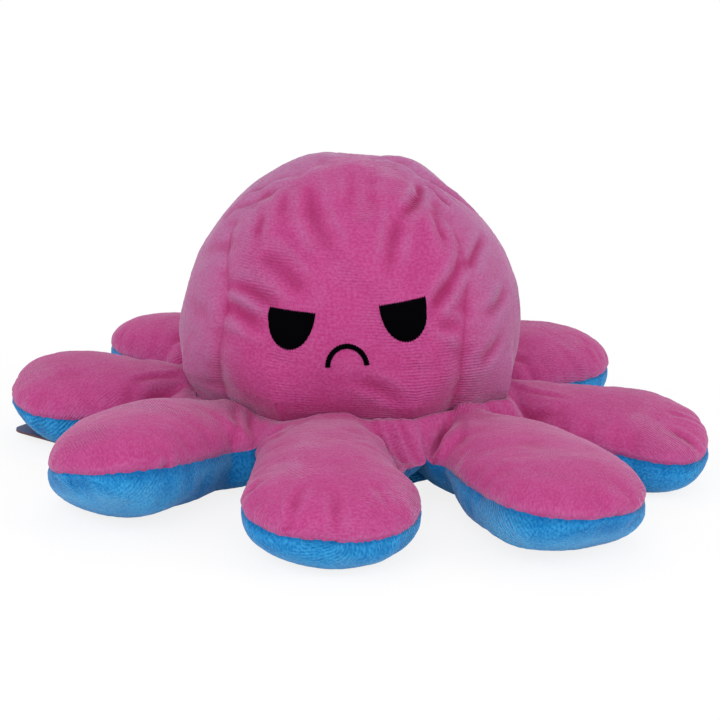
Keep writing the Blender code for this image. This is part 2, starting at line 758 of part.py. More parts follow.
def build_fastener():
    """A nylon stem through the card's hole, with a cross bar under the card."""
    seat = ARM_FLOOR_GAPS["left"] - GAP - TAG_HOLE_PLACE[2]
    bar_top = -FASTENER_BAR_DROP
    stem = FASTENER_WIDTH / 2
    bar = FASTENER_BAR / 2
    outline = [
        (-stem, seat),
        (-stem, bar_top),
        (-bar, bar_top),
        (-bar, bar_top - FASTENER_WIDTH),
        (bar, bar_top - FASTENER_WIDTH),
        (bar, bar_top),
        (stem, bar_top),
        (stem, seat),
    ]
    fastener = prism("tag_fastener", outline, -stem, stem, "clear_nylon", None)
    fastener.location = TAG_HOLE_PLACE
    fastener.rotation_euler = (math.pi / 2, 0, TAG_TURN + math.pi / 2)


def main():
    """Build every piece."""
    clear_scene()
    for name in MATERIALS:
        make_material(name)
    make_empty("axis", AXIS_PLACE, (0, 0, 0))
    build_head_gores()
    build_head_stuffing()
    build_lining_gores()
    build_neck_band()
    build_underside_band()
    build_faces()
    build_arms()
    build_tag()


main()
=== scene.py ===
"""Looks of a stuffed octopus that turns inside out: pink plush outside, blue plush inside.

Run as a script inside Blender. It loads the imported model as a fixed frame, covers its
cloth and stuffing with padded plush, and sets up floor, lamps and camera.
Metres, +Z up, the face looks along -Y. Azimuths are measured about the head's axis from
-Y toward +X, seen from above.
"""
import json
import math

import bpy
import numpy as np
from mathutils import Matrix, Vector


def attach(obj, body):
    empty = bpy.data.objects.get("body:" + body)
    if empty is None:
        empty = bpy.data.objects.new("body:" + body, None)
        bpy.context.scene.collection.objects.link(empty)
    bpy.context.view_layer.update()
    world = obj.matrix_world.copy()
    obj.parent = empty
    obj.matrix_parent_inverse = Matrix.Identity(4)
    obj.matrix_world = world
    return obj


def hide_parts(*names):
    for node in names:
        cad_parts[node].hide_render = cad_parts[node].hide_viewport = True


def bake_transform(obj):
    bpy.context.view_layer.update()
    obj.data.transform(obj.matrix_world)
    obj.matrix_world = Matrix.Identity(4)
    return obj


bl_info = {
    "name": "Plush octopus",
    "version": (1, 0, 0),
    "blender": (4, 5, 0),
    "location": "3D View > Sidebar > Plush octopus",
    "description": "Builds a stuffed octopus of pink and blue plush round its packed frame",
    "category": "Object",
}

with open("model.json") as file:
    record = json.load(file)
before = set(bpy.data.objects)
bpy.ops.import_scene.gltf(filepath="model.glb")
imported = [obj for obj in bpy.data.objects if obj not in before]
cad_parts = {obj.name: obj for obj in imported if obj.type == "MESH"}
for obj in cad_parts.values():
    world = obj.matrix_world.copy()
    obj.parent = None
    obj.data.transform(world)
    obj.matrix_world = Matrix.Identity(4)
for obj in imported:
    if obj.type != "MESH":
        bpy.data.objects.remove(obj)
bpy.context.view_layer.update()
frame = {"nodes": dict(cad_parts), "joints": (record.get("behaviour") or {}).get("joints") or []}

# Places that the frame gives: the hinge lines of the arms stand round the head's axis
ARM_NAMES = ("front", "front_right", "right", "back_right", "back", "back_left", "left", "front_left")
JOINTS = {joint["name"]: joint for joint in frame["joints"]}
HINGES = np.array([JOINTS[f"arm_{name}_root"]["pos_m"] for name in ARM_NAMES])
AXIS_PLACE = HINGES.mean(axis=0) * (1, 1, 0)
HINGE_RADIUS = float(np.linalg.norm((HINGES[0] - AXIS_PLACE)[:2]))
HINGE_HEIGHT = float(HINGES[0, 2])
ARM_PITCH = 2 * math.pi / len(ARM_NAMES)

MILLIMETRE = 0.001

# Head: angles of the neck and of the cloth band that the arms' roots fold against
NECK_ANGLE = math.radians(-20.8)
BAND_TOP_ANGLE = math.radians(135)
SOCKET_RADIUS = 0.01335
HEAD_LOWER_ROUNDING = 0.0324
CROWN_OPEN_RADIUS = 0.0002
# Angles that the head's profile leaves open between the band and the dome, in radians
BAND_GAP_ANGLE = 0.12
DOME_GAP_ANGLE = 0.03

# Seams of the face gore: azimuths in degrees at heights
FACE_SEAM_HEIGHTS = (0.010, 0.021, 0.030, 0.039, 0.048, 0.055, 0.0626, 0.0675, 0.074, 0.0812)
FACE_SEAM_LEFT = (-49, -50, -48, -46.5, -46, -52, -62, -66, -58, -45)
FACE_SEAM_RIGHT = (43, 42, 41, 41, 43, 47, 51, 52, 50, 45)
BACK_SEAM_RIGHT = 135
BACK_SEAM_LEFT = 225

# Folds of the head's cloth: places as azimuth in degrees and height in millimetres,
# then half width and depth in millimetres. A depth below nought is a ridge.
HEAD_FOLDS = (
    (((-35, 76), (-26, 73.5), (-21, 70.7), (-16, 67.6), (-11, 65), (-8, 62.5)), 2.4, 1.2),
    (((-39, 60.4), (-32, 59.2), (-25, 57), (-20, 54.8), (-16, 52.8)), 2.4, 1.4),
    (((-46, 52), (-39, 51.5), (-33, 50.5), (-27, 49)), 1.7, 1.0),
    (((-49, 45.2), (-42, 45.6), (-37, 44.6), (-31, 43)), 2.0, 1.4),
    (((54, 77.2), (44, 75.4), (34, 73.3), (26, 71.4)), 1.4, 1.4),
    (((24, 72), (19, 68.2), (16, 64.5), (14, 59.5)), 1.9, 1.1),
    (((45, 71), (43, 68.5), (42, 65)), 1.6, 0.8),
    (((48.5, 61.4), (43, 57.9), (37, 54.9), (32, 51.8), (29, 49.5)), 1.7, 1.5),
    (((68, 64.2), (58, 61.5), (50, 58.2)), 1.5, 1.1),
    (((4, 31.6), (12, 29.4), (20, 26)), 1.8, 0.7),
    (((29, 47.4), (35, 45.2), (40, 44.2)), 1.8, 0.7),
    (((60, 40), (55, 37), (48, 34)), 1.8, 0.7),
    (((61, 77.5), (62, 74.7), (62, 72)), 1.2, 0.9),
    (((-46, 75.5), (-40, 72), (-36, 69)), 2.2, 0.6),
    (((-5, 79.6), (-2, 76.4), (-3, 73)), 1.8, 0.6),
    (((15, 80.4), (8, 76.5), (9, 73)), 1.8, 0.6),
    (((-48, 69), (-45, 65.5), (-42, 63)), 1.8, 0.7),
    (((60, 82), (80, 80.5), (72, 78.2), (84, 73.8), (92, 68)), 1.1, -0.9),
    (((-80, 66), (-66, 72), (-52, 76.5)), 1.4, -0.8),
    (((70, 51), (60, 48), (52, 46)), 1.8, 0.8),
    (((-70, 43.5), (-60, 42.2), (-49, 41)), 2.6, 0.4),
    (((-76, 56), (-66, 58), (-54, 60)), 2.6, 0.4),
    (((150, 60), (160, 50), (165, 40)), 3.2, 0.5),
    (((200, 64), (196, 54), (205, 44)), 3.2, 0.5),
    (((120, 70), (112, 60), (110, 48)), 3.0, 0.5),
    (((240, 68), (246, 58), (252, 48)), 3.0, 0.5),
    (((176, 74), (180, 66), (172, 58)), 2.8, 0.5),
    (((232, 40), (224, 36), (212, 36)), 2.8, 0.5),
    (((128, 42), (138, 37), (150, 38)), 2.8, 0.5),
)

# Broad swells and hollows of the stuffing: azimuth, height, radius, lift (millimetres)
HEAD_SWELLS = (
    (-38, 79.5, 13, 1.5),
    (62, 80.5, 13, 0.4),
    (180, 81.6, 8, -1.6),
    (118, 79.5, 9, 1.2),
    (215, 81.2, 8, 0.6),
    (-95, 53, 20, -1.0),
    (108, 71, 11, -1.1),
    (90, 58, 12, 0.5),
    (-90, 74, 16, -0.2),
    (90, 72, 16, -0.3),
    (-28, 45, 9, -0.9),
    (32, 52, 9, -0.6),
    (0, 60, 14, 0.5),
    (-8, 36, 10, 0.6),
    (180, 62, 18, 1.0),
    (140, 44, 12, -0.6),
    (215, 40, 12, -0.5),
)

# Seams: widths of the stitch line and of the groove beside it, the distances over which
# pile and simulated wrinkles fade towards them, and depths and reach of the puckers
SEAM_LINE_WIDTH = 0.0006
SEAM_GROOVE_WIDTH = 0.0026
PILE_FADE = 0.0006
WRINKLE_FADE = 0.0020
HEAD_PUCKER_DEPTH = 0.00070
HEAD_PUCKER_PITCH = 0.0042
HEAD_PUCKER_REACH = 0.0055
ARM_GROOVE_DEPTH = 0.00045
ARM_GROOVE_WIDTH = 0.0007
ARM_PUCKER_REACH = 0.0045
SEAM_JITTER = 0.00030
SEAM_JITTER_PITCH = 0.0007
LINING_RIDGE_HEIGHT = 0.0006
LINING_RIDGE_WIDTH = 0.0018
# How hollow the cloth has to be for the whole painted shade of its creases
HEAD_HOLLOW_DEPTH = 0.00062
ARM_HOLLOW_DEPTH = 0.00055

# Cloth simulation of a panel
SIM_FRAMES = 20
SIM_QUALITY = 4
SIM_BENDING = 0.05

# Distances inside and outside the hinge line that mark where an arm would bend; each arm's points at them
# are worked out but not used
BEND_INSIDE = 0.0105
BEND_OUTSIDE = 0.0140
# Height of the covers' lowest points over the floor
FLOOR_GAP = 0.0001

# Arms: what each value of a row means, in metres, degrees and shares. Reach is from the
# head's axis to the tip, and sweep is how far the tip lies to the right of someone who
# faces that arm. Left and right are meant in that way throughout. Each side has
# a half width and the share of it that it loses toward the neck, and the right side a
# waist. Fullness is the height of the top over the seam, which drops toward the tip and
# tilts down to the left. The lower the two under values are, the boxier the underside
# is across and round the tip. The ribs of the plush run at an angle to the arm.
ARM_FIELDS = (
    "reach", "sweep", "left_width", "left_taper", "right_width", "right_taper", "waist",
    "fullness", "seam_drop", "seam_tilt", "floor_gap", "tip_rounding", "under_power",
    "under_tip", "rib_angle",
)
ARM_ROWS = {
    "front": (
        0.1087, -0.0037, 0.0213, 0.0, 0.0219, 0.0, 0.30,
        0.0098, 0.0033, -0.0007, 0, 0.0220, 0.76, 0.62, 20,
    ),
    "front_right": (
        0.1095, -0.0170, 0.0270, 0.36, 0.0238, 0.15, 0,
        0.0092, -0.0002, -0.0017, 0, 0.0246, 0.50, 1.25, 30,
    ),
    "right": (
        0.0972, -0.0125, 0.0266, 0.10, 0.0198, 0.19, 0,
        0.0077, 0.0007, 0.0027, 0, 0.0195, 0.62, 1.05, 62,
    ),
    "back_right": (
        0.1018, 0.0013, 0.0196, 0.12, 0.0229, 0.13, 0,
        0.0116, -0.0001, 0.0008, 0, 0.0260, 0.72, 0.75, 80,
    ),
    "back": (
        0.1115, 0.0020, 0.0220, 0.10, 0.0220, 0.10, 0,
        0.0105, 0.0010, 0.0, 0, 0.0250, 0.72, 0.75, 15,
    ),
    "back_left": (
        0.0924, -0.0014, 0.0223, 0.10, 0.0190, 0.17, 0,
        0.0107, 0.0011, 0.0013, 0, 0.0252, 0.72, 0.75, -20,
    ),
    "left": (
        0.0908, -0.0015, 0.0227, 0.43, 0.0262, 0.10, 0,
        0.0085, 0.0006, -0.0022, 0.0030, 0.0226, 0.82, 1.8, -35,
    ),
    "front_left": (
        0.1056, 0.0150, 0.0211, 0.34, 0.0211, 0.21, 0,
        0.0111, -0.0023, 0.0046, 0, 0.0266, 0.46, 1.35, -30,
    ),
}
ARM_SHAPES = {name: dict(zip(ARM_FIELDS, row)) for name, row in ARM_ROWS.items()}

# Web between an arm and the next one, by the name of the arm on its left: distance from
# the hinge line at which it ends, and share of the neck's height from which it falls
WEBS = {
    "front": (0.0012, 0.95), "front_right": (-0.0015, 0.97), "right": (0.0, 0.80),
    "back_right": (0.0, 0.80), "back": (0.0, 0.80), "back_left": (0.0, 0.70),
    "left": (0.0, 0.50), "front_left": (0.0045, 0.62),
}
# How far the top of an arm at the neck is off the common height
NECK_LIFTS = {"front_left": -0.0014, "left": -0.0006}
# How far the underside beside the neck is drawn in towards the arm's middle
FORK_SHARES = {"front": 1.0, "front_right": 0.60, "front_left": 0.05}

# Share of an arm's width that its pillow has at the neck on its left and right sides,
# and the lengths over which both spread to the whole width
NECK_SHARES = {
    "front": (1.0, 0.40, 0.015, 0.030), "front_right": (0.15, 0.6, 0.0135, 0.020),
    "right": (0.5, 0.5, 0.020, 0.020), "back_right": (0.6, 0.6, 0.020, 0.020),
    "back": (0.7, 0.7, 0.020, 0.020), "back_left": (0.7, 0.7, 0.020, 0.020),
    "left": (0.6, 0.5, 0.020, 0.020), "front_left": (0.6, 0.85, 0.020, 0.015),
}

# Puckers of the top at the tip, from the left side of the tip to the right
TIP_PUCKERS = {
    "front": (0.10, 0.38, 0.56, 0.80), "front_right": (0.34, 0.52, 0.66), "right": (0.30, 0.48, 0.64),
    "back_right": (0.40, 0.62), "back": (0.28, 0.50, 0.70), "back_left": (0.42, 0.60),
    "left": (0.35, 0.58), "front_left": (0.36, 0.60, 0.85),
}

# Folds of the tops near the neck: places as distance outward and across in millimetres,
# then half width and depth in millimetres
ARM_FOLDS = {
    "front": (
        (((-11, 6.5), (-3, 10), (8, 14), (15, 17)), 1.0, 0.55),
        (((-10, 10), (-3, 13.5), (5, 17.5), (9, 20)), 0.9, 0.50),
        (((-10, 13), (-4, 16.5), (0, 19.5)), 0.8, 0.40),
        (((-8, -9), (0, -13), (9, -17)), 1.4, 0.30),
    ),
    "front_right": (
        (((-9, -3), (-5, -10), (-1, -17), (3, -22)), 0.9, 0.55),
        (((-3, -6), (3, -12), (8, -18)), 1.2, 0.35),
        (((-9, 9), (-4, 13), (2, 17)), 1.1, 0.50),
    ),
    "right": (
        (((-9, -8), (-3, -13), (4, -17)), 1.1, 0.60),
        (((-8, -3), (0, -7), (7, -10)), 1.2, 0.40),
        (((-8, 8), (0, 11), (8, 13)), 1.2, 0.40),
    ),
    "back_right": ((((-8, -6), (0, -10), (8, -13)), 1.3, 0.45), (((-8, 7), (0, 10), (8, 12)), 1.3, 0.45)),
    "back": ((((-8, -6), (0, -9), (8, -12)), 1.3, 0.45), (((-8, 7), (0, 9), (8, 13)), 1.3, 0.45)),
    "back_left": ((((-8, -6), (0, -10), (8, -12)), 1.3, 0.45), (((-8, 5), (0, 9), (8, 12)), 1.3, 0.45)),
    "left": (
        (((-8, 4), (-1, 8), (5, 13)), 1.2, 0.60),
        (((-8, 9), (-3, 13), (1, 17)), 1.1, 0.50),
        (((-8, -6), (0, -10), (7, -13)), 1.3, 0.40),
    ),
    "front_left": (
        (((-9, 3), (-3, 9), (1, 15), (6, 19)), 1.1, 0.55),
        (((-10, 8), (-5, 13), (0, 18)), 1.0, 0.55),
        (((-8, -5), (0, -10), (8, -13)), 1.3, 0.35),
    ),
}

# Second face, on the lining: places and sizes of its round eyes and its smile
LINING_EYE_OFFSET = 0.0110
LINING_EYE_HEIGHT = 0.0260
LINING_EYE_RADIUS = 0.0045
LINING_SMILE_HEIGHT = 0.0203
LINING_SMILE_SIZES = (0.0050, 0.0043)

# How deep the stitched pieces start under the cloth, and how high a thread's ridge is
STITCH_ROOT = 0.0005
THREAD_RIDGE = 0.00010

# A wave texture of scale one repeats after this length
WAVE_PERIOD = 0.314

FLOOR_HALF_WIDTH = 6.0


class HeadSizes(bpy.types.PropertyGroup):
    """Sizes of the stuffed head."""

    radius: bpy.props.FloatProperty(
        name="Radius", description="Widest radius of the head",
        default=0.0460, min=0.01, unit="LENGTH",
    )
    widest_height: bpy.props.FloatProperty(
        name="Widest height", description="Height at which the head is widest",
        default=0.0350, min=0.01, unit="LENGTH",
    )
    crown_height: bpy.props.FloatProperty(
        name="Crown height", description="Height of the crown over the floor",
        default=0.0822, min=0.02, unit="LENGTH",
    )
    seam_depth: bpy.props.FloatProperty(
        name="Seam depth", description="How far the seams draw the cloth in",
        default=0.0011, min=0.0, unit="LENGTH",
    )
    fold_share: bpy.props.FloatProperty(
        name="Fold share", description="Strength of the folds in the cloth",
        default=1.0, min=0.0, max=2.0, subtype="FACTOR",
    )


class ArmSizes(bpy.types.PropertyGroup):
    """Sizes that the eight arms share."""

    root_radius: bpy.props.FloatProperty(
        name="Root radius", description="Half thickness of an arm at its hinge line",
        default=0.0130, min=0.002, unit="LENGTH",
    )
    neck_rise: bpy.props.FloatProperty(
        name="Neck rise", description="Height of an arm's top over its hinge line at the neck",
        default=0.0090, min=0.001, unit="LENGTH",
    )
    swell_length: bpy.props.FloatProperty(
        name="Swell length", description="Length over which an arm's top reaches its fullness",
        default=0.0270, min=0.002, unit="LENGTH",
    )
    tip_half_width: bpy.props.FloatProperty(
        name="Tip half width", description="Half width of the blunt end of the tip",
        default=0.0035, min=0.0, unit="LENGTH",
    )
    waist_place: bpy.props.FloatProperty(
        name="Waist place", description="Distance of an arm's narrow place from its hinge line",
        default=0.0160, min=0.0, unit="LENGTH",
    )
    waist_length: bpy.props.FloatProperty(
        name="Waist length", description="Length over which the narrow place fades",
        default=0.0090, min=0.001, unit="LENGTH",
    )
    fork_start: bpy.props.FloatProperty(
        name="Fork start", description="Distance from the hinge line at which two arms start to part",
        default=-0.0010, unit="LENGTH",
    )
    fork_length: bpy.props.FloatProperty(
        name="Fork length", description="Length over which each arm takes its own width",
        default=0.0070, min=0.001, unit="LENGTH",
    )
    floor_cut: bpy.props.FloatProperty(
        name="Floor cut", description="Depth of the flat on which an arm rests",
        default=0.0010, min=0.0, unit="LENGTH",
    )
    pucker_depth: bpy.props.FloatProperty(
        name="Pucker depth", description="Depth of the puckers along the seam",
        default=0.0007, min=0.0, unit="LENGTH",
    )


class ClothSizes(bpy.types.PropertyGroup):
    """Sizes of the plush and of the mesh that shows it."""

    grid_pitch: bpy.props.FloatProperty(
        name="Grid pitch", description="Distance between points of the cloth's mesh",
        default=0.00045, min=0.0002, unit="LENGTH",
    )
    sim_pitch: bpy.props.FloatProperty(
        name="Simulated pitch", description="Size of the cells of the simulated panels",
        default=0.0023, unit="LENGTH",
    )
    sim_scale: bpy.props.FloatProperty(
        name="Simulated scale", description="Scale at which the cloth is simulated",
        default=20.0,
    )
    sim_pressure: bpy.props.FloatProperty(
        name="Pressure", description="Pressure of the stuffing in the simulation",
        default=10.0,
    )
    sim_growth: bpy.props.FloatProperty(
        name="Spare cloth", description="Share by which the cloth is larger than the panel",
        default=0.06,
    )
    sim_share: bpy.props.FloatProperty(
        name="Simulated share", description="Share of the simulated wrinkles that is kept",
        default=0.46,
    )
    sim_cap: bpy.props.FloatProperty(
        name="Largest wrinkle", description="Largest height of a simulated wrinkle",
        default=0.0010, unit="LENGTH",
    )
    rib_pitch: bpy.props.FloatProperty(
        name="Rib pitch", description="Distance between the ribs of the plush",
        default=0.0008, min=0.0002, unit="LENGTH",
    )
    pile_height: bpy.props.FloatProperty(
        name="Pile height", description="Unevenness of the pile",
        default=0.00006, min=0.0, unit="LENGTH",
    )
    stuffing_unevenness: bpy.props.FloatProperty(
        name="Stuffing unevenness", description="Lumps that the stuffing leaves in the cloth",
        default=0.00040, min=0.0, unit="LENGTH",
    )


class HollowSizes(bpy.types.PropertyGroup):
    """Sizes of the lined hollow under the head."""

    radius: bpy.props.FloatProperty(
        name="Radius", description="Radius of the hollow",
        default=0.0330, min=0.01, unit="LENGTH",
    )
    shoulder_height: bpy.props.FloatProperty(
        name="Shoulder height", description="Height at which the hollow starts to close",
        default=0.0300, min=0.01, unit="LENGTH",
    )
    crown_height: bpy.props.FloatProperty(
        name="Crown height", description="Height of the hollow's top",
        default=0.0680, min=0.02, unit="LENGTH",
    )
    rim_height: bpy.props.FloatProperty(
        name="Rim height", description="Height of the rim over the floor",
        default=0.0030, min=0.0, unit="LENGTH",
    )


class FaceSizes(bpy.types.PropertyGroup):
    """Sizes of the embroidered faces."""

    height: bpy.props.FloatProperty(
        name="Height", description="Height of the middle between the eyes' straight edges",
        default=0.0500, min=0.01, unit="LENGTH",
    )
    across: bpy.props.FloatProperty(
        name="Across", description="Shift of the face toward +X",
        default=-0.0006, unit="LENGTH",
    )
    tilt: bpy.props.FloatProperty(
        name="Tilt", description="Tilt of the line from eye to eye",
        default=math.radians(6.85), subtype="ANGLE", unit="ROTATION",
    )
    eye_half_width: bpy.props.FloatProperty(
        name="Eye half width", description="Half length of an eye's straight edge",
        default=0.0068, min=0.001, unit="LENGTH",
    )
    eye_drop: bpy.props.FloatProperty(
        name="Eye drop", description="Depth of an eye under its straight edge",
        default=0.0099, min=0.0005, unit="LENGTH",
    )
    eye_offset: bpy.props.FloatProperty(
        name="Eye offset", description="Distance of each eye from the face's middle",
        default=0.0152, min=0.002, unit="LENGTH",
    )
    eye_tilt: bpy.props.FloatProperty(
        name="Eye tilt", description="Tilt that both straight edges share",
        default=math.radians(3.95), subtype="ANGLE", unit="ROTATION",
    )
    eye_slant: bpy.props.FloatProperty(
        name="Eye slant", description="Slant of the straight edges toward the middle",
        default=math.radians(4.85), subtype="ANGLE", unit="ROTATION",
    )
    mouth_half_width: bpy.props.FloatProperty(
        name="Mouth half width", description="Half distance between the mouth's ends",
        default=0.0049, min=0.001, unit="LENGTH",
    )
    mouth_height: bpy.props.FloatProperty(
        name="Mouth height", description="Height of the mouth's arc over its ends",
        default=0.0053, min=0.001, unit="LENGTH",
    )
    mouth_stroke: bpy.props.FloatProperty(
        name="Mouth stroke", description="Width of the mouth's stitches",
        default=0.0014, min=0.0003, unit="LENGTH",
    )
    mouth_end_height: bpy.props.FloatProperty(
        name="Mouth end height", description="Height of the mouth's ends over the floor",
        default=0.0354, min=0.001, unit="LENGTH",
    )
    stitch_pitch: bpy.props.FloatProperty(
        name="Stitch pitch", description="Distance between two threads of the satin stitch",
        default=0.0007, min=0.0002, unit="LENGTH",
    )
    thread_height: bpy.props.FloatProperty(
        name="Thread height", description="How far the threads stand over the pile",
        default=0.00050, min=0.0001, unit="LENGTH",
    )


def colour(label, words, value):
    """A colour property in linear values."""
    return bpy.props.FloatVectorProperty(
        name=label, description=words, default=value, min=0, max=1, size=3, subtype="COLOR",
    )


class Colours(bpy.types.PropertyGroup):
    """Colours of the cloths and trims."""

    pink: colour("Pink", "Plush of the head and of the arms' tops", (0.385, 0.038, 0.170))
    pink_tip: colour("Pink tips", "Pink plush where its pile lies over", (0.46, 0.085, 0.260))
    # Painted sheen: paler pink for the head's sides turned from the front, the crown, ridges and the tops'
    # seam edges
    pink_painted_light: colour("Pink painted light", "Painted sheen and light on the pink plush", (0.37, 0.145, 0.29))
    # Painted shade: deeper pink for hollows, seam lines, the neck and the arms' roots
    pink_painted_shade: colour("Pink painted shade", "Painted shade of the pink plush in its creases", (0.27, 0.014, 0.085))
    blue: colour("Blue", "Plush of the undersides and the lining", (0.003, 0.135, 0.395))
    blue_tip: colour("Blue tips", "Blue plush where its pile lies over", (0.034, 0.31, 0.62))
    # Painted light: paler blue for the undersides towards the floor and the tips, as floor light and sheen,
    # and for ridges
    blue_painted_light: colour("Blue painted light", "Painted floor light and sheen on the blue plush", (0.10, 0.42, 0.72))
    # Painted shade: deeper blue along the undersides' seams, in hollows and at the roots
    blue_painted_shade: colour("Blue painted shade", "Painted shade of the blue plush in its creases", (0.001, 0.052, 0.20))
    sheen: colour("Sheen", "Light that the pile's ends catch", (0.80, 0.80, 0.92))
    thread: colour("Thread", "Embroidery thread", (0.0005, 0.0005, 0.0009))
    card: colour("Card", "Face of the swing tag", (0.040, 0.052, 0.125))
    card_edge: colour("Card edge", "Cut edge of the swing tag", (0.10, 0.045, 0.05))
    nylon: colour("Nylon", "Fastener of the swing tag", (0.80, 0.80, 0.80))
    floor: colour("Floor", "Floor and backdrop", (0.90, 0.90, 0.90))


class StageSizes(bpy.types.PropertyGroup):
    """Camera and lamps."""

    camera_distance: bpy.props.FloatProperty(
        name="Camera distance", description="From the camera to the point that it looks at",
        default=0.668, min=0.1, unit="LENGTH",
    )
    camera_elevation: bpy.props.FloatProperty(
        name="Camera elevation", description="Angle of the camera over the floor",
        default=math.radians(14.2), subtype="ANGLE", unit="ROTATION",
    )
    camera_roll: bpy.props.FloatProperty(
        name="Camera roll", description="Turn of the picture about the line of sight",
        default=math.radians(-3.11), subtype="ANGLE", unit="ROTATION",
    )
    camera_target_height: bpy.props.FloatProperty(
        name="Target height", description="Height of the point that the camera looks at",
        default=0.0257, unit="LENGTH",
    )
    camera_lens: bpy.props.FloatProperty(
        name="Lens", description="Focal length of the camera", default=122.9, min=10, unit="CAMERA",
    )
    key_power: bpy.props.FloatProperty(
        name="Key lamp", description="Power of the large lamp above the front",
        default=5.5, min=0, unit="POWER",
    )
    front_power: bpy.props.FloatProperty(
        name="Front lamp", description="Power of the low lamp beside the camera",
        default=2.0, min=0, unit="POWER",
    )
    fill_power: bpy.props.FloatProperty(
        name="Fill lamp", description="Power of the lamps at the sides", default=3.0, min=0, unit="POWER",
    )
    sky_strength: bpy.props.FloatProperty(
        name="Sky", description="Strength of the light from all sides", default=0.665, min=0,
    )


class PlushOctopus(bpy.types.PropertyGroup):
    """Everything that a user would change."""

    head: bpy.props.PointerProperty(type=HeadSizes, name="Head")
    arms: bpy.props.PointerProperty(type=ArmSizes, name="Arms")
    cloth: bpy.props.PointerProperty(type=ClothSizes, name="Cloth")
    hollow: bpy.props.PointerProperty(type=HollowSizes, name="Hollow")
    face: bpy.props.PointerProperty(type=FaceSizes, name="Face")
    colours: bpy.props.PointerProperty(type=Colours, name="Colours")
    stage: bpy.props.PointerProperty(type=StageSizes, name="Stage")


def settings():
    """The scene's property group."""
    return bpy.context.scene.plush_octopus


# Shapes on grids


def around(azimuth, radius, height):
    """Points at azimuths, radii and heights about the head's axis, which broadcast."""
    places = np.broadcast_arrays(radius * np.sin(azimuth), -radius * np.cos(azimuth), height)
    return np.stack(places, axis=-1) + AXIS_PLACE


def sector_scale(azimuth):
    """How much farther a regular polygon reaches here than at the middle of a side."""
    local = (azimuth + ARM_PITCH / 2) % ARM_PITCH - ARM_PITCH / 2
    return 1 / np.cos(local)


def lattice_noise(points, pitch, seed):
    """Smooth noise from -1 to 1: values hashed from whole cells, blended between corners."""
    place = points / pitch
    cell = np.floor(place).astype(np.int64)
    share = place - cell
    share = share * share * (3 - 2 * share)
    total = np.zeros(points.shape[:-1])
    for corner in range(8):
        step = np.array([corner & 1, corner >> 1 & 1, corner >> 2 & 1])
        x, y, z = np.moveaxis(cell + step, -1, 0)
        mix = (x * 73856093) ^ (y * 19349663) ^ (z * 83492791) ^ (seed * 2654435761)
        mix = (mix ^ (mix >> 13)) * 1274126177 & 0xFFFFFFFF
        value = ((mix ^ (mix >> 16)) & 0xFFFF) / 32767.5 - 1
        weight = np.where(step, share, 1 - share).prod(axis=-1)
        total += weight * value
    return total


def blurred(values, reach):
    """Values of a grid averaged over squares that reach this many cells each way."""
    for axis in (0, 1):
        widths = [(reach + 1, reach) if step == axis else (0, 0) for step in (0, 1)]
        total = np.moveaxis(np.cumsum(np.pad(values, widths, mode="edge"), axis=axis), axis, 0)
        values = np.moveaxis((total[2 * reach + 1:] - total[:-2 * reach - 1]) / (2 * reach + 1), 0, axis)
    return values


def hollowness(relief):
    """How far each point of a relief lies below its surroundings, about 2 mm and 4 mm away."""
    near = blurred(blurred(relief, 2), 2)
    far = blurred(blurred(relief, 5), 5)
    return 0.6 * (near - relief) + (far - near)


def grid_normals(points, flip=False):
    """Unit normals of a grid: the cross product of its gradients along rows and columns."""
    along = np.gradient(points, axis=0)
    across = np.gradient(points, axis=1)
    normals = np.cross(across, along)
    size = np.linalg.norm(normals, axis=-1, keepdims=True)
    normals = normals / np.maximum(size, 1e-12)
    return -normals if flip else normals


def arc_lengths(points, axis):
    """Length along a grid line up to each point, summed from the line's first point."""
    steps = np.linalg.norm(np.diff(points, axis=axis), axis=-1)
    zero = np.zeros_like(np.take(steps, [0], axis=axis))
    return np.concatenate([zero, np.cumsum(steps, axis=axis)], axis=axis)


def resample(profile, pitch):
    """Points a pitch apart along a polyline, measured by its first two coordinates."""
    length = arc_lengths(profile[:, :2], 0)
    count = max(2, int(round(length[-1] / pitch)))
    places = np.linspace(0, length[-1], count + 1)
    return np.stack([np.interp(places, length, profile[:, k]) for k in range(profile.shape[1])], -1)


def fold_depth(points, path, half_width, depth):
    """Depth of one fold: a rounded valley along a path, with a low ridge at each side.

    The nearest distance from each point to the path's pieces gives the place in the
    valley, and the fold fades out toward both of its ends.
    """
    nearest = np.full(points.shape[:-1], np.inf)
    place = np.zeros(points.shape[:-1])
    for index in range(len(path) - 1):
        start, end = path[index], path[index + 1]
        run = end - start
        share = np.clip(((points - start) @ run) / (run @ run), 0, 1)
        gap = np.linalg.norm(points - start - share[..., None] * run, axis=-1)
        closer = gap < nearest
        nearest = np.where(closer, gap, nearest)
        place = np.where(closer, index + share, place)
    fade = np.sin(np.pi * np.clip(place / (len(path) - 1), 0.02, 0.98)) ** 0.45
    ratio = nearest / half_width
    valley = np.exp(-ratio**2) - 0.38 * np.exp(-((ratio - 1.9) ** 2) / 0.5)
    return depth * fade * valley


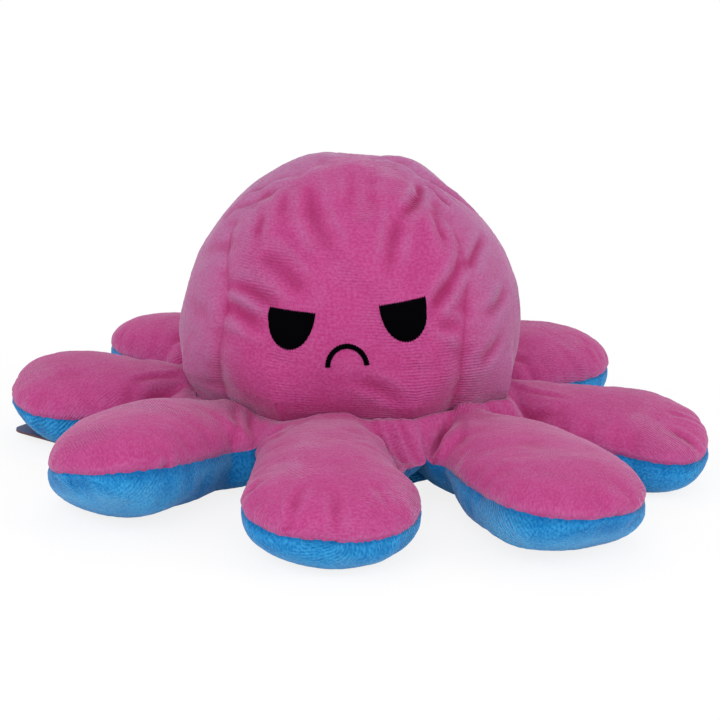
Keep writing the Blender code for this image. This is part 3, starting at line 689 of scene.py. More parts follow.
def make_mesh(name, points, cloth_place, material, painted_shade=None, painted_light=None, flip=False):
    """A mesh object of quads over a grid of points.

    Cloth coordinates are its UV map. Painted shade, for how deep each point lies in a
    hollow, and painted light, both from 0 to 1, are attributes for the material.
    """
    rows, columns = points.shape[:2]
    index = np.arange(rows * columns).reshape(rows, columns)
    corners = [index[:-1, :-1], index[:-1, 1:], index[1:, 1:], index[1:, :-1]]
    quads = np.stack(corners, axis=-1).reshape(-1, 4)
    if flip:
        quads = quads[:, ::-1]
    mesh = bpy.data.meshes.new(name)
    mesh.vertices.add(rows * columns)
    mesh.vertices.foreach_set("co", points.astype(np.float32).ravel())
    mesh.loops.add(quads.size)
    mesh.loops.foreach_set("vertex_index", quads.astype(np.int32).ravel())
    mesh.polygons.add(len(quads))
    mesh.polygons.foreach_set("loop_start", np.arange(0, quads.size, 4, dtype=np.int32))
    mesh.update(calc_edges=True)
    mesh.validate()
    layer = mesh.uv_layers.new(name="cloth")
    layer.data.foreach_set("uv", cloth_place.reshape(-1, 2)[quads.ravel()].astype(np.float32).ravel())
    mesh.polygons.foreach_set("use_smooth", np.full(len(quads), True))
    for word, values in (("painted_shade", painted_shade), ("painted_light", painted_light)):
        if values is not None:
            shade = mesh.attributes.new(name=word, type="FLOAT", domain="POINT")
            shade.data.foreach_set("value", np.clip(values, 0, 1).astype(np.float32).ravel())
    mesh.materials.append(bpy.data.materials[material])
    piece = bpy.data.objects.new(name, mesh)
    bpy.context.scene.collection.objects.link(piece)
    return piece


# Head


def head_profile():
    """Radius, height and corner share from the seam under the neck up to the crown.

    The band follows the socket of the arms. The dome is a quarter ellipse above the
    widest height, and part of a flatter one below it.
    """
    head = settings().head
    pitch = settings().cloth.grid_pitch
    angles = np.linspace(math.pi, BAND_TOP_ANGLE + BAND_GAP_ANGLE, 40)
    band = np.stack([
        HINGE_RADIUS + SOCKET_RADIUS * np.cos(angles),
        HINGE_HEIGHT + SOCKET_RADIUS * np.sin(angles),
        np.ones_like(angles),
    ], axis=-1)
    last = math.acos(CROWN_OPEN_RADIUS / head.radius)
    polar = np.linspace(NECK_ANGLE + DOME_GAP_ANGLE, last, 400)
    rise = np.where(polar > 0, head.crown_height - head.widest_height, HEAD_LOWER_ROUNDING)
    dome = np.stack([
        head.radius * np.cos(polar),
        head.widest_height + rise * np.sin(polar),
        np.clip(polar / NECK_ANGLE, 0, 1),
    ], axis=-1)
    return resample(np.concatenate([band, dome]), pitch)


def seam_azimuths(heights):
    """Azimuths of the four seams at each height, smoothed along the seam, in radians."""
    window = np.hanning(41)[1:-1]
    window = window / window.sum()
    half = len(window) // 2
    tracks = []
    for table in (FACE_SEAM_LEFT, FACE_SEAM_RIGHT):
        track = np.interp(heights, FACE_SEAM_HEIGHTS, table)
        padded = np.pad(track, half, mode="edge")
        tracks.append(np.convolve(padded, window, mode="valid"))
    left, right = tracks
    straight = np.ones_like(heights)
    edges = [left, right, straight * BACK_SEAM_RIGHT, straight * BACK_SEAM_LEFT, left + 360]
    return np.radians(np.stack(edges))


def head_surface(azimuth, radius, height, share):
    """Points of the plain dome, widened to the arms' polygon near the neck."""
    widened = radius * (1 + share * (sector_scale(azimuth) - 1))
    return around(azimuth, widened, height)


def dome_point(azimuth, height):
    """A point of the plain dome from an azimuth and a height in metres."""
    head = settings().head
    up = height - head.widest_height
    rise = head.crown_height - head.widest_height
    sine = np.clip(np.where(up > 0, up / rise, up / HEAD_LOWER_ROUNDING), -1, 1)
    return around(azimuth, head.radius * np.sqrt(1 - sine**2), height)


def dome_normals(points):
    """Unit normals of the plain dome: the gradient of its two ellipsoids."""
    head = settings().head
    up = points[..., 2:] - head.widest_height
    rise = np.where(up > 0, head.crown_height - head.widest_height, HEAD_LOWER_ROUNDING)
    flat = (points[..., :2] - AXIS_PLACE[:2]) / head.radius**2
    slope = np.concatenate([flat, up / rise**2], axis=-1)
    return slope / np.linalg.norm(slope, axis=-1, keepdims=True)


def head_folds(points):
    """How deep the folds of the head's cloth are at points of the plain dome."""
    depth = np.zeros(points.shape[:-1])
    for path, half_width, deep in HEAD_FOLDS:
        places = np.array(path, float)
        path_points = dome_point(np.radians(places[:, 0]), places[:, 1] * MILLIMETRE)
        depth += fold_depth(points, path_points, half_width * MILLIMETRE, deep * MILLIMETRE)
    return depth * settings().head.fold_share


def head_lift(points):
    """How far the stuffed cloth stands over the plain dome: swells and lumps less folds."""
    lift = -head_folds(points)
    for azimuth, height, radius, rise in HEAD_SWELLS:
        middle = dome_point(math.radians(azimuth), height * MILLIMETRE)
        gap = np.linalg.norm(points - middle, axis=-1)
        lift += rise * MILLIMETRE * np.exp(-((gap / (radius * MILLIMETRE)) ** 2))
    uneven = settings().cloth.stuffing_unevenness
    lift += uneven * lattice_noise(points, 0.011, 3) + uneven * 0.35 * lattice_noise(points, 0.0045, 5)
    return lift


def sampled(values, rows, columns):
    """Values of a coarse grid at fractional rows and columns, straight between its points."""
    for axis, places in ((0, rows), (1, columns)):
        values = np.moveaxis(values, axis, 0)
        low = np.clip(places.astype(int), 0, len(values) - 2)
        share = (places - low)[:, None]
        values = np.moveaxis(values[low] * (1 - share) + values[low + 1] * share, 0, axis)
    return values


def swollen(points, flip=False):
    """How far each point of a panel moves out when its cloth, a little too large, is stuffed.

    A coarse copy of the panel, sewn down along its edges, is simulated as cloth under
    pressure. The broad swell is taken off again, as the panel's form has it, and what
    is left are the wrinkles and dimples.
    """
    cloth = settings().cloth
    step = max(int(cloth.sim_pitch / cloth.grid_pitch), 1)
    rows, columns = [max(count // step, 4) for count in points.shape[:2]]
    row_places = np.linspace(0, points.shape[0] - 1, rows + 1)
    column_places = np.linspace(0, points.shape[1] - 1, columns + 1)
    coarse = points[np.ix_(row_places.round().astype(int), column_places.round().astype(int))]
    scale = cloth.sim_scale
    normals = grid_normals(coarse, flip)
    panel = make_mesh("Simulated panel", coarse * scale, coarse[..., :2], "Pink plush", flip=flip)
    edge = np.ones(coarse.shape[:2], bool)
    edge[1:-1, 1:-1] = False
    pins = panel.vertex_groups.new(name="Sewn edges")
    pins.add(np.flatnonzero(edge).tolist(), 1.0, "REPLACE")
    modifier = panel.modifiers.new("Cloth", "CLOTH")
    modifier.settings.quality = SIM_QUALITY
    modifier.settings.vertex_group_mass = pins.name
    modifier.settings.use_pressure = True
    modifier.settings.uniform_pressure_force = cloth.sim_pressure
    modifier.settings.shrink_min = -cloth.sim_growth
    modifier.settings.bending_stiffness = SIM_BENDING
    modifier.settings.effector_weights.gravity = 0
    modifier.point_cache.frame_start = 1
    modifier.point_cache.frame_end = SIM_FRAMES
    stage = bpy.context.scene
    for frame_number in range(1, SIM_FRAMES + 1):
        stage.frame_set(frame_number)
    settled = panel.evaluated_get(bpy.context.evaluated_depsgraph_get()).to_mesh()
    moved = np.empty(coarse.size)
    settled.vertices.foreach_get("co", moved)
    mesh = panel.data
    bpy.data.objects.remove(panel)
    bpy.data.meshes.remove(mesh)
    stage.frame_set(1)
    rise = ((moved.reshape(coarse.shape) / scale - coarse) * normals).sum(axis=-1)
    rise = rise - blurred(blurred(rise, 2), 2)
    cap = cloth.sim_cap
    rise = cap * np.tanh(rise / cap)
    fine_rows = np.arange(points.shape[0]) * rows / (points.shape[0] - 1)
    fine_columns = np.arange(points.shape[1]) * columns / (points.shape[1] - 1)
    return blurred(sampled(rise, fine_rows, fine_columns), max(step // 2, 1))


def pile_lift(points):
    """Unevenness of the pile's ends."""
    height = settings().cloth.pile_height
    return height * (lattice_noise(points, 0.0011, 11) + 0.6 * lattice_noise(points, 0.0006, 12))


def build_head_cover(name, edges, profile, nodes):
    """One gore of the head: a grid between two seams, drawn in along both of them.

    The relief is the swells and folds less a groove and puckers that die away from the
    seams by Gaussian curves. Painted sheen makes the cloth paler at the sides and the
    crown, and painted light makes its ridges paler; painted shade makes it deeper in
    colour in its hollows, along the seams and near the neck.
    """
    sizes = settings()
    left, right = edges
    radius, height, share = profile.T
    widest = float(((right - left) * radius).max())
    columns = int(widest / sizes.cloth.grid_pitch)
    across = np.linspace(0, 1, columns + 1)
    azimuth = left[:, None] + (right - left)[:, None] * across[None, :]
    points = head_surface(azimuth, radius[:, None], height[:, None], share[:, None])
    arc = arc_lengths(points, 1)
    to_seam = np.minimum(arc, arc[:, -1:] - arc)
    normals = grid_normals(points)
    normals += (dome_normals(points) - normals) * np.exp(-((to_seam / 0.0012) ** 2))[..., None]
    line = np.exp(-((to_seam / SEAM_LINE_WIDTH) ** 2))
    groove = 0.35 * line + 0.85 * np.exp(-((to_seam / SEAM_GROOVE_WIDTH) ** 2))
    run = np.broadcast_to(arc_lengths(profile[:, :2], 0)[:, None], arc.shape)
    beside = np.stack([to_seam * 0.3, run, np.zeros_like(arc)], axis=-1)
    puckers = 0.5 + 0.5 * lattice_noise(beside, HEAD_PUCKER_PITCH, 21)
    pucker = HEAD_PUCKER_DEPTH * puckers * np.exp(-((to_seam / HEAD_PUCKER_REACH) ** 2))
    flatter = 1 - 0.65 * ease((height[:, None] - 0.060) / 0.012)
    lift = head_lift(points) - sizes.head.seam_depth * 0.55 * groove * flatter - pucker
    tucked = np.clip((height - HINGE_HEIGHT) / 0.009, 0, 1)[:, None]
    fade = np.clip(to_seam / WRINKLE_FADE, 0, 1)
    lift = lift + sizes.cloth.sim_share * fade * swollen(points)
    hollow = hollowness(lift) / HEAD_HOLLOW_DEPTH
    # Painted shade: darker colour in the hollows, along the seam lines and near the neck, where shade falls
    painted_shade = hollow + 0.35 * flatter * np.exp(-((to_seam / 0.0007) ** 2))
    painted_shade += 0.15 * (1 - ease((height - HINGE_HEIGHT - 0.0085) / 0.005))[:, None]
    # Painted light: paler colour as sheen on the sides turned from the front, less again at the back, on
    # the crown and on ridges, and less in hollows
    turned = np.degrees(np.abs(np.arctan2(np.sin(azimuth), np.cos(azimuth))))
    painted_light = 0.85 * ease((turned - 28) / 40) - 0.50 * ease((turned - 85) / 60)
    painted_light += 0.25 * ease((height[:, None] - 0.070) / 0.010) - 0.60 * hollow
    fuzz = pile_lift(points) * np.clip(to_seam / PILE_FADE, 0, 1)
    points = points + normals * ((lift + fuzz) * tucked)[..., None]
    cloth_place = np.stack([arc - arc[:, -1:] / 2, run], axis=-1)
    cover = make_mesh(name, points, cloth_place, "Pink plush", painted_shade, painted_light)
    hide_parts(*nodes)
    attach(cover, "head")


class OCTOPUS_OT_head(bpy.types.Operator):
    """Cover the head with four gores of pink plush."""

    bl_idname = "octopus.head"
    bl_label = "Head covers"

    def execute(self, context):
        profile = head_profile()
        seams = seam_azimuths(profile[:, 1])
        for index, side in enumerate(("front", "right", "back", "left")):
            nodes = (f"head_gore_{side}", "head_stuffing", "neck_band")
            build_head_cover(f"head_cover_{side}", seams[index:index + 2], profile, nodes)
        return {"FINISHED"}


# Arms


def smooth_lesser(first, second, power):
    """The lesser of two positive values, rounded where they meet."""
    return (first**-power + second**-power) ** (-1 / power)


def smooth_greater(first, second, power):
    """The greater of two values of nought or more, rounded where they meet."""
    return (first**power + second**power) ** (1 / power)


def arm_stations(length, tip_rounding):
    """Distances from the hinge line: even steps round the root, along, and round the tip."""
    root_radius = settings().arms.root_radius
    pitch = settings().cloth.grid_pitch
    quarter = math.pi / 2
    root_angles = np.linspace(0, quarter, int(root_radius * quarter / pitch))
    tip_angles = np.linspace(0, quarter, int(tip_rounding * quarter / pitch))
    tip_start = length - tip_rounding
    body = np.linspace(0, tip_start, int(tip_start / pitch) + 1)
    root = -root_radius * np.cos(root_angles)
    tip = tip_start + tip_rounding * np.sin(tip_angles)
    return np.concatenate([root[:-1], body, tip[1:]])


def arm_half_width(along, length, tip_round, width, taper, waist):
    """Half width of one side: tapered to the root, with a waist, kept inside the wedge."""
    arms = settings().arms
    wedge = (HINGE_RADIUS + along) * math.tan(ARM_PITCH / 2) - 0.00002
    to_full = 1 - np.clip(along / (0.6 * length), 0, 1)
    fading = np.where(along > arms.waist_place, 1, 2.4) * arms.waist_length
    bend = np.exp(-(((along - arms.waist_place) / fading) ** 2))
    free = width * (1 - taper * to_full**2 - waist * bend)
    parted = ease((along - arms.fork_start) / arms.fork_length)
    side = wedge + (smooth_lesser(wedge, free, 16) - wedge) * parted
    return arms.tip_half_width + (side - arms.tip_half_width) * tip_round


def ease(share):
    """A share from 0 to 1, eased at both ends."""
    share = np.clip(share, 0, 1)
    return share * share * (3 - 2 * share)


def arm_layer(name, side):
    """One face of an arm's pillow in its hinge frame: X outward, Y across, Z up.

    Across, it is a section of a rounded pillow between the seams, and the two sides
    have their own widths. The top starts level with the neck and swells to its
    fullness. Beside the pillow a web of cloth slopes from the neck to the crotch, and
    the seam is lifted to that web where two arms join.
    """
    arms = settings().arms
    shape = ARM_SHAPES[name]
    length = shape["reach"] - HINGE_RADIUS
    tip_rounding = shape["tip_rounding"]
    along = arm_stations(length, tip_rounding)
    outward = np.clip(along / length, 0, 1)
    tip_share = np.clip((along - length + tip_rounding) / tip_rounding, 0, 1)
    tip_round = np.sqrt(np.clip(1 - tip_share**2.1, 0, 1))
    common = (along, length, tip_round)
    left = arm_half_width(*common, shape["left_width"], shape["left_taper"], 0)
    right = arm_half_width(*common, shape["right_width"], shape["right_taper"], shape["waist"])
    root_round = np.sqrt(np.clip(1 - np.clip(-along / arms.root_radius, 0, 1) ** 2, 0, 1))
    girth = 1.25 * (left.max() / 2 + right.max() / 2 + arms.root_radius)
    columns = int(girth / settings().cloth.grid_pitch)
    turn = np.linspace(0, math.pi, columns + 1)[None, :]
    cosine = np.cos(turn)
    sine = np.clip(np.sin(turn), 0, 1)
    half_width = np.where(cosine > 0, left[:, None], right[:, None])
    across = -half_width * cosine
    seam_drop = (shape["seam_drop"] * outward**1.5)[:, None]
    seam = -seam_drop - shape["seam_tilt"] * outward[:, None] * half_width / 0.0222 * cosine
    place = ARM_NAMES.index(name)
    fall = [
        share * (1 - ease((along + arms.neck_rise) / (end + arms.neck_rise) * 0.93) ** 0.8)
        for end, share in (WEBS[ARM_NAMES[place - 1]], WEBS[name])
    ]
    mix = (1 + cosine) / 2
    web = arms.neck_rise * (mix * fall[0][:, None] + (1 - mix) * fall[1][:, None])
    web = np.minimum(web, (arms.root_radius * root_round)[:, None])
    if side > 0:
        swell = ease((along + arms.neck_rise) / arms.swell_length)
        neck = arms.neck_rise + NECK_LIFTS.get(name, 0)
        level = neck + (shape["fullness"] - neck) * swell
        thickness = np.minimum(level, arms.root_radius * root_round) * tip_round**0.75
        left_share, right_share, left_spread, right_spread = NECK_SHARES[name]
        neck_share = np.where(cosine > 0, left_share, right_share)
        spread = ease((along[:, None] + 0.0110) / np.where(cosine > 0, left_spread, right_spread))
        narrow = neck_share + (1 - neck_share) * spread
        inside = np.clip(1 - (cosine / narrow) ** 2, 0, 1)
        pillow = thickness[:, None] * inside ** (0.43 + 0.25 * (1 - spread))
        height = seam + smooth_greater(pillow, web, 6)
    else:
        cut = arms.floor_cut * np.clip(along / arms.root_radius, 0, 1)
        fullness = (arms.root_radius - seam_drop[:, 0] + cut) * root_round * tip_round ** shape["under_tip"]
        lifted = web * np.exp(-((sine / 0.10) ** 2))
        forked = FORK_SHARES.get(name, 0.6) * np.exp(-(((along - 0.001) / 0.0105) ** 2))[:, None]
        power = shape["under_power"] + (2.3 - shape["under_power"]) * forked
        height = seam + lifted - fullness[:, None] * sine**power
        height = np.maximum(height, shape["floor_gap"] - HINGE_HEIGHT)
    across = across + (shape["sweep"] * outward**1.5)[:, None]
    return np.stack(np.broadcast_arrays(along[:, None], across, height), axis=-1)


def to_world(points, azimuth):
    """Points of a hinge frame carried to the arm's place round the head."""
    outward = np.array([math.sin(azimuth), -math.cos(azimuth), 0])
    across = np.array([math.cos(azimuth), math.sin(azimuth), 0])
    origin = AXIS_PLACE + HINGE_RADIUS * outward + (0, 0, HINGE_HEIGHT)
    turned = points[..., :1] * outward + points[..., 1:2] * across
    return origin + turned + points[..., 2:] * np.array([0, 0, 1])


def arm_relief(name, points, side):
    """Puckers at the seam, the groove of the seam and lumps of the stuffing.

    The groove is a Gaussian valley of the distance to the seam, the puckers are noise
    that dies away from it, and the lumps are noise of two sizes. The distance of each
    point to the seam comes with them.
    """
    arms = settings().arms
    arc = arc_lengths(points, 1)
    to_seam = np.minimum(arc, arc[:, -1:] - arc)
    run = arc_lengths(points, 0)[:, points.shape[1] // 2]
    to_tip = (run[-1] - run)[:, None]
    edge_gap = np.minimum(to_seam, to_tip)
    outside = np.clip((points[:, :1, 0] - 0.004) / 0.008, 0, 1)
    groove = ARM_GROOVE_DEPTH * np.exp(-((edge_gap / ARM_GROOVE_WIDTH) ** 2)) * outside
    rim = np.stack([points[..., 0] * 0.55, points[..., 1] * 0.55, edge_gap * 0.12], axis=-1)
    gather = lattice_noise(rim, 0.0016, 31 + ARM_NAMES.index(name) + (8 if side < 0 else 0))
    pucker = 0.28 * arms.pucker_depth * gather * np.exp(-edge_gap / ARM_PUCKER_REACH) * outside
    world = points + (0.31 * ARM_NAMES.index(name), 0, 0.17 * side)
    uneven = settings().cloth.stuffing_unevenness
    lumps = uneven * lattice_noise(world, 0.012, 41) + uneven * 0.35 * lattice_noise(world, 0.005, 42)
    lumps = lumps * np.clip(edge_gap / 0.004, 0, 1)
    return -groove - pucker + lumps, edge_gap


def tip_pucker(name, points):
    """Short valleys that run in from the seam round the tip of the top."""
    arms = settings().arms
    shape = ARM_SHAPES[name]
    length = shape["reach"] - HINGE_RADIUS
    rounding = shape["tip_rounding"]
    depth = np.zeros(points.shape[:-1])
    for index, place in enumerate(TIP_PUCKERS[name]):
        angle = math.pi * (place - 0.5)
        half_width = shape["right_width"] if angle > 0 else shape["left_width"]
        start = np.array([
            length - rounding * (1 - math.cos(angle)),
            shape["sweep"] + math.sin(angle) * half_width * 0.93,
            -0.002,
        ])
        inner = start + (-0.009 * math.cos(angle) - 0.001, -0.006 * math.sin(angle), 0.0070)
        path = np.stack([start, (start + inner) / 2 + (0.0008, 0, 0.0012), inner])
        depth += fold_depth(points, path, 0.0013, arms.pucker_depth * (1 + 0.3 * (index % 2)))
    return depth


def neck_folds(name, points):
    """Depth of the folds of an arm's top near the neck and the crotches."""
    depth = np.zeros(points.shape[:-1])
    for path, half_width, deep in ARM_FOLDS[name]:
        places = np.array(path, float) * MILLIMETRE
        flat = np.concatenate([places, np.zeros((len(places), 1))], axis=1)
        depth += fold_depth(points * (1, 1, 0), flat, half_width * MILLIMETRE, deep * MILLIMETRE)
    return depth


def build_arm(name, index):
    """The pink top and the blue underside of one arm, which meet along one seam."""
    azimuth = index * ARM_PITCH
    layers = []
    shades = []
    for side in (1, -1):
        points = arm_layer(name, side)
        normals = grid_normals(points, flip=side > 0)
        relief, edge_gap = arm_relief(name, points, side)
        root = np.clip(-points[..., 0] / settings().arms.root_radius, 0, 1)
        if side > 0:
            relief = relief - tip_pucker(name, points) - neck_folds(name, points)
            # Painted sheen: the top is paler along its seam edge
            edge_painted_shade, edge_painted_light = 0.0, 0.45 * np.exp(-edge_gap / 0.0011)
        else:
            # Painted shade: the underside is darker along its seam, under the top's edge
            edge_painted_shade = 0.50 * np.exp(-edge_gap / 0.0022)
            # Painted light: the underside is paler towards the floor and the tip, as floor light and sheen
            below = ease((edge_gap - 0.002) / 0.008)
            edge_painted_light = 0.68 * below * ease((points[..., 0] - 0.014) / 0.024)
        fade = np.clip(edge_gap / WRINKLE_FADE, 0, 1) * ease((points[..., 0] + 0.002) / 0.008)
        relief = relief + settings().cloth.sim_share * fade * swollen(points, flip=side > 0)
        hollow = hollowness(relief) / ARM_HOLLOW_DEPTH
        # Painted shade in hollows, along the seam and at the root under the head, and painted light on
        # ridges
        painted_shade = hollow + edge_painted_shade + 0.4 * ease((root - 0.62) / 0.3)
        shades.append((painted_shade, edge_painted_light - 0.55 * hollow))
        world = points + (0.31 * index, 0, 0.17 * side)
        relief = relief + pile_lift(world) * np.clip(edge_gap / PILE_FADE, 0, 1)
        moved = points + normals * relief[..., None]
        layers.append((points, moved))
    rest = layers[0][0]
    seam_noise = SEAM_JITTER * lattice_noise(rest * (1, 1, 0) + 0.013 * index, SEAM_JITTER_PITCH, 51)
    free = np.clip((rest[..., 0] - 0.004) / 0.006, 0, 1)
    top, under = layers[0][1], layers[1][1]
    for edge in (np.s_[:, 0], np.s_[:, -1], np.s_[-1, :]):
        shared = (top[edge] + under[edge]) / 2
        shared[..., 2] += seam_noise[edge] * free[edge]
        top[edge] = shared
        under[edge] = shared
    floor_gap = ARM_SHAPES[name]["floor_gap"]
    nap = math.radians(ARM_SHAPES[name]["rib_angle"])
    start = around(azimuth, HINGE_RADIUS - BEND_INSIDE, HINGE_HEIGHT)
    end = around(azimuth, HINGE_RADIUS + BEND_OUTSIDE, HINGE_HEIGHT)
    for side, points, shade in ((1, top, shades[0]), (-1, under, shades[1])):
        points[..., 2] = np.maximum(points[..., 2], FLOOR_GAP + floor_gap - HINGE_HEIGHT)
        arc = arc_lengths(points, 1)
        arc = arc - arc[:, -1:] / 2
        run = arc_lengths(points, 0)[:, points.shape[1] // 2][:, None]
        turned = nap * side
        across = arc * math.cos(turned) - run * math.sin(turned)
        down = arc * math.sin(turned) + run * math.cos(turned)
        cloth_place = np.stack([across, down], axis=-1)
        word, material, slot = (
            ("top", "Pink plush", "pink_plush") if side > 0 else ("under", "Blue plush", "blue_plush")
        )
        piece = make_mesh(
            f"arm_{name}_{word}_cover", to_world(points, azimuth), cloth_place, material, *shade,
            flip=side > 0,
        )
        if side > 0:
            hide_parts(f"arm_{name}_top", f"arm_{name}_stuffing")
        else:
            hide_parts(f"arm_{name}_underside")
        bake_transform(piece)


class OCTOPUS_OT_arms(bpy.types.Operator):
    """Cover the eight arms with pink plush on top and blue plush underneath."""

    bl_idname = "octopus.arms"
    bl_label = "Arm covers"

    def execute(self, context):
        for index, name in enumerate(ARM_NAMES):
            build_arm(name, index)
        return {"FINISHED"}


# Hollow


def hollow_profile():
    """Radius and height from the arms' seam under the neck, round the rim, up the lining."""
    hollow = settings().hollow
    turn = np.linspace(math.pi, math.radians(222), 30)
    socket = np.stack([
        HINGE_RADIUS + SOCKET_RADIUS * np.cos(turn),
        HINGE_HEIGHT + SOCKET_RADIUS * np.sin(turn),
        np.ones_like(turn),
    ], axis=-1)
    rim = np.array([
        [hollow.radius + 0.0065, hollow.rim_height + 0.0003, 0.7],
        [hollow.radius + 0.0035, hollow.rim_height, 0.25],
        [hollow.radius + 0.0010, hollow.rim_height + 0.0006, 0.0],
    ])
    wall_low = np.array([[hollow.radius, hollow.rim_height + 0.0030, 0.0]])
    polar = np.linspace(0, math.pi / 2 - 0.004, 200)
    vault = np.stack([
        hollow.radius * np.cos(polar),
        hollow.shoulder_height + (hollow.crown_height - hollow.shoulder_height) * np.sin(polar),
        np.zeros_like(polar),
    ], axis=-1)
    return resample(np.concatenate([socket, rim, wall_low, vault]), settings().cloth.grid_pitch * 1.3)


def build_lining_cover(name, middle, nodes, profile):
    """One gore of the blue lining, seen from inside the hollow, drawn out along its seams."""
    radius, height, share = profile.T
    pitch = settings().cloth.grid_pitch * 1.3
    quarter = math.pi / 2
    columns = int(radius.max() * quarter / pitch)
    azimuth = math.radians(middle) + np.linspace(-0.5, 0.5, columns + 1)[None, :] * quarter
    azimuth = np.broadcast_to(azimuth, (len(radius), columns + 1))
    points = head_surface(azimuth, radius[:, None], height[:, None], share[:, None])
    normals = grid_normals(points)
    arc = arc_lengths(points, 1)
    to_seam = np.minimum(arc, arc[:, -1:] - arc)
    uneven = settings().cloth.stuffing_unevenness
    lift = uneven * 1.2 * lattice_noise(points, 0.010, 61) + uneven * 0.6 * lattice_noise(points, 0.004, 62)
    lift += LINING_RIDGE_HEIGHT * np.exp(-((to_seam / LINING_RIDGE_WIDTH) ** 2))
    lift += pile_lift(points) * np.clip(to_seam / PILE_FADE, 0, 1)
    free = np.clip((arc_lengths(points, 0) - 0.004) / 0.006, 0, 1)
    points = points + normals * (lift * free)[..., None]
    run = arc_lengths(points, 0)[:, columns // 2]
    cloth_place = np.stack([arc - arc[:, -1:] / 2, np.broadcast_to(run[:, None], arc.shape)], axis=-1)
    cover = make_mesh(name, points, cloth_place, "Blue plush")
    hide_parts(*nodes)
    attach(cover, "head")


class OCTOPUS_OT_lining(bpy.types.Operator):
    """Line the hollow and its rim with four gores of blue plush."""

    bl_idname = "octopus.lining"
    bl_label = "Lining covers"

    def execute(self, context):
        profile = hollow_profile()
        for index, side in enumerate(("front", "right", "back", "left")):
            nodes = (f"lining_gore_{side}", "underside_band")
            build_lining_cover(f"lining_cover_{side}", 90 * index, nodes, profile)
        return {"FINISHED"}


# Faces


def on_head(across, height, lift):
    """Points over the stuffed head's cloth, from distances along it and heights."""
    points = dome_point(across / settings().head.radius, height)
    return points + dome_normals(points) * (head_lift(points) + lift)[..., None]


def on_lining(across, height, lift):
    """Points over the upright part of the lining, inside the hollow."""
    radius = settings().hollow.radius - lift
    return around(across / settings().hollow.radius, radius, height)


def face_place(across, up, centre, tilt):
    """Places of the face's own frame as distances along the cloth and heights."""
    return (
        centre[0] + across * math.cos(tilt) - up * math.sin(tilt),
        centre[1] + across * math.sin(tilt) + up * math.cos(tilt),
    )


def stitches(place, pitch):
    """Rounded ridges a pitch apart, from 0 in the grooves to 1 on the threads."""
    return np.abs(np.sin(np.pi * place / pitch)) ** 0.6


def build_eye(name, surface, centre, sizes, slant, node):
    """Satin stitch between a lower and an upper half ellipse: upright threads side by side.

    The sizes are the half width, the drop under the middle and the rise over it, which
    is nought for a straight upper edge. Columns run across the eye and rows from its
    lower edge to its upper one. The lift is a low dome with a ridge for each thread,
    and it drops to the cloth at the edge.
    """
    face = settings().face
    half_width, drop, rise = sizes
    turn = np.linspace(-0.5, 0.5, 121)[None, :] * math.pi
    across = half_width * np.sin(turn)
    cosine = np.clip(np.cos(turn), 0, 1)
    jag = 0.00042 * (stitches(across, face.stitch_pitch) - 0.5)
    lower = -drop * cosine**0.92 - jag
    upper = rise * cosine + jag
    share = np.linspace(0, 1, 73)[:, None]
    eased = 0.5 - 0.5 * np.cos(np.pi * share)
    up = lower + (upper - lower) * eased
    across = np.broadcast_to(across, up.shape)
    edge = np.clip(4 * eased * (1 - eased), 0, 1) ** 0.16
    side = cosine**0.2
    ridge = THREAD_RIDGE * stitches(across, face.stitch_pitch) * edge
    lift = -STITCH_ROOT + (face.thread_height + STITCH_ROOT) * edge * side + ridge
    along, height = face_place(across, up, centre, slant)
    points = surface(along, height, lift)
    eye = make_mesh(name, points, np.stack([across, up], axis=-1), "Black thread")
    finish_stitching(eye, node)


def build_mouth(name, surface, centre, sizes, tilt, up, node):
    """Satin stitch along half an ellipse: threads lie across the stroke, side by side.

    The sizes are the ellipse's half width and its height. The stroke is laid off along
    the ellipse's normal.
    """
    face = settings().face
    half_width, rise = sizes
    turn = np.linspace(-math.pi / 2, math.pi / 2, 181)
    middle = np.stack([half_width * np.sin(turn), up * rise * np.cos(turn)], axis=-1)
    normal = np.stack([rise * np.sin(turn), up * half_width * np.cos(turn)], axis=-1)
    normal = normal / np.linalg.norm(normal, axis=-1, keepdims=True)
    place = arc_lengths(middle, 0)[:, None]
    round_share = np.linspace(-1, 1, 17)[None, :]
    jag = 0.00026 * (stitches(place, face.stitch_pitch) - 0.5)
    reach = round_share * (face.mouth_stroke / 2 + jag)
    dome = np.sqrt(np.clip(1 - round_share**2, 0, 1))
    ends = np.clip(np.minimum(place, place[-1] - place) / 0.0003, 0, 1) ** 0.5
    ridge = THREAD_RIDGE * stitches(place, face.stitch_pitch) * dome
    lift = -STITCH_ROOT + (face.thread_height + STITCH_ROOT) * dome * ends + ridge * ends
    across = middle[:, :1] + normal[:, :1] * reach
    rise_up = middle[:, 1:] + normal[:, 1:] * reach
    along, height = face_place(across, rise_up, centre, tilt)
    points = surface(along, height, lift)
    cloth_place = np.stack(np.broadcast_arrays(place, round_share * face.mouth_stroke / 2), axis=-1)
    mouth = make_mesh(name, points, cloth_place, "Black thread", flip=up > 0)
    finish_stitching(mouth, node)


def finish_stitching(piece, node):
    """Hide the node that a stitched piece stands for, and tie the piece to the head."""
    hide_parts(node)
    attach(piece, "head")


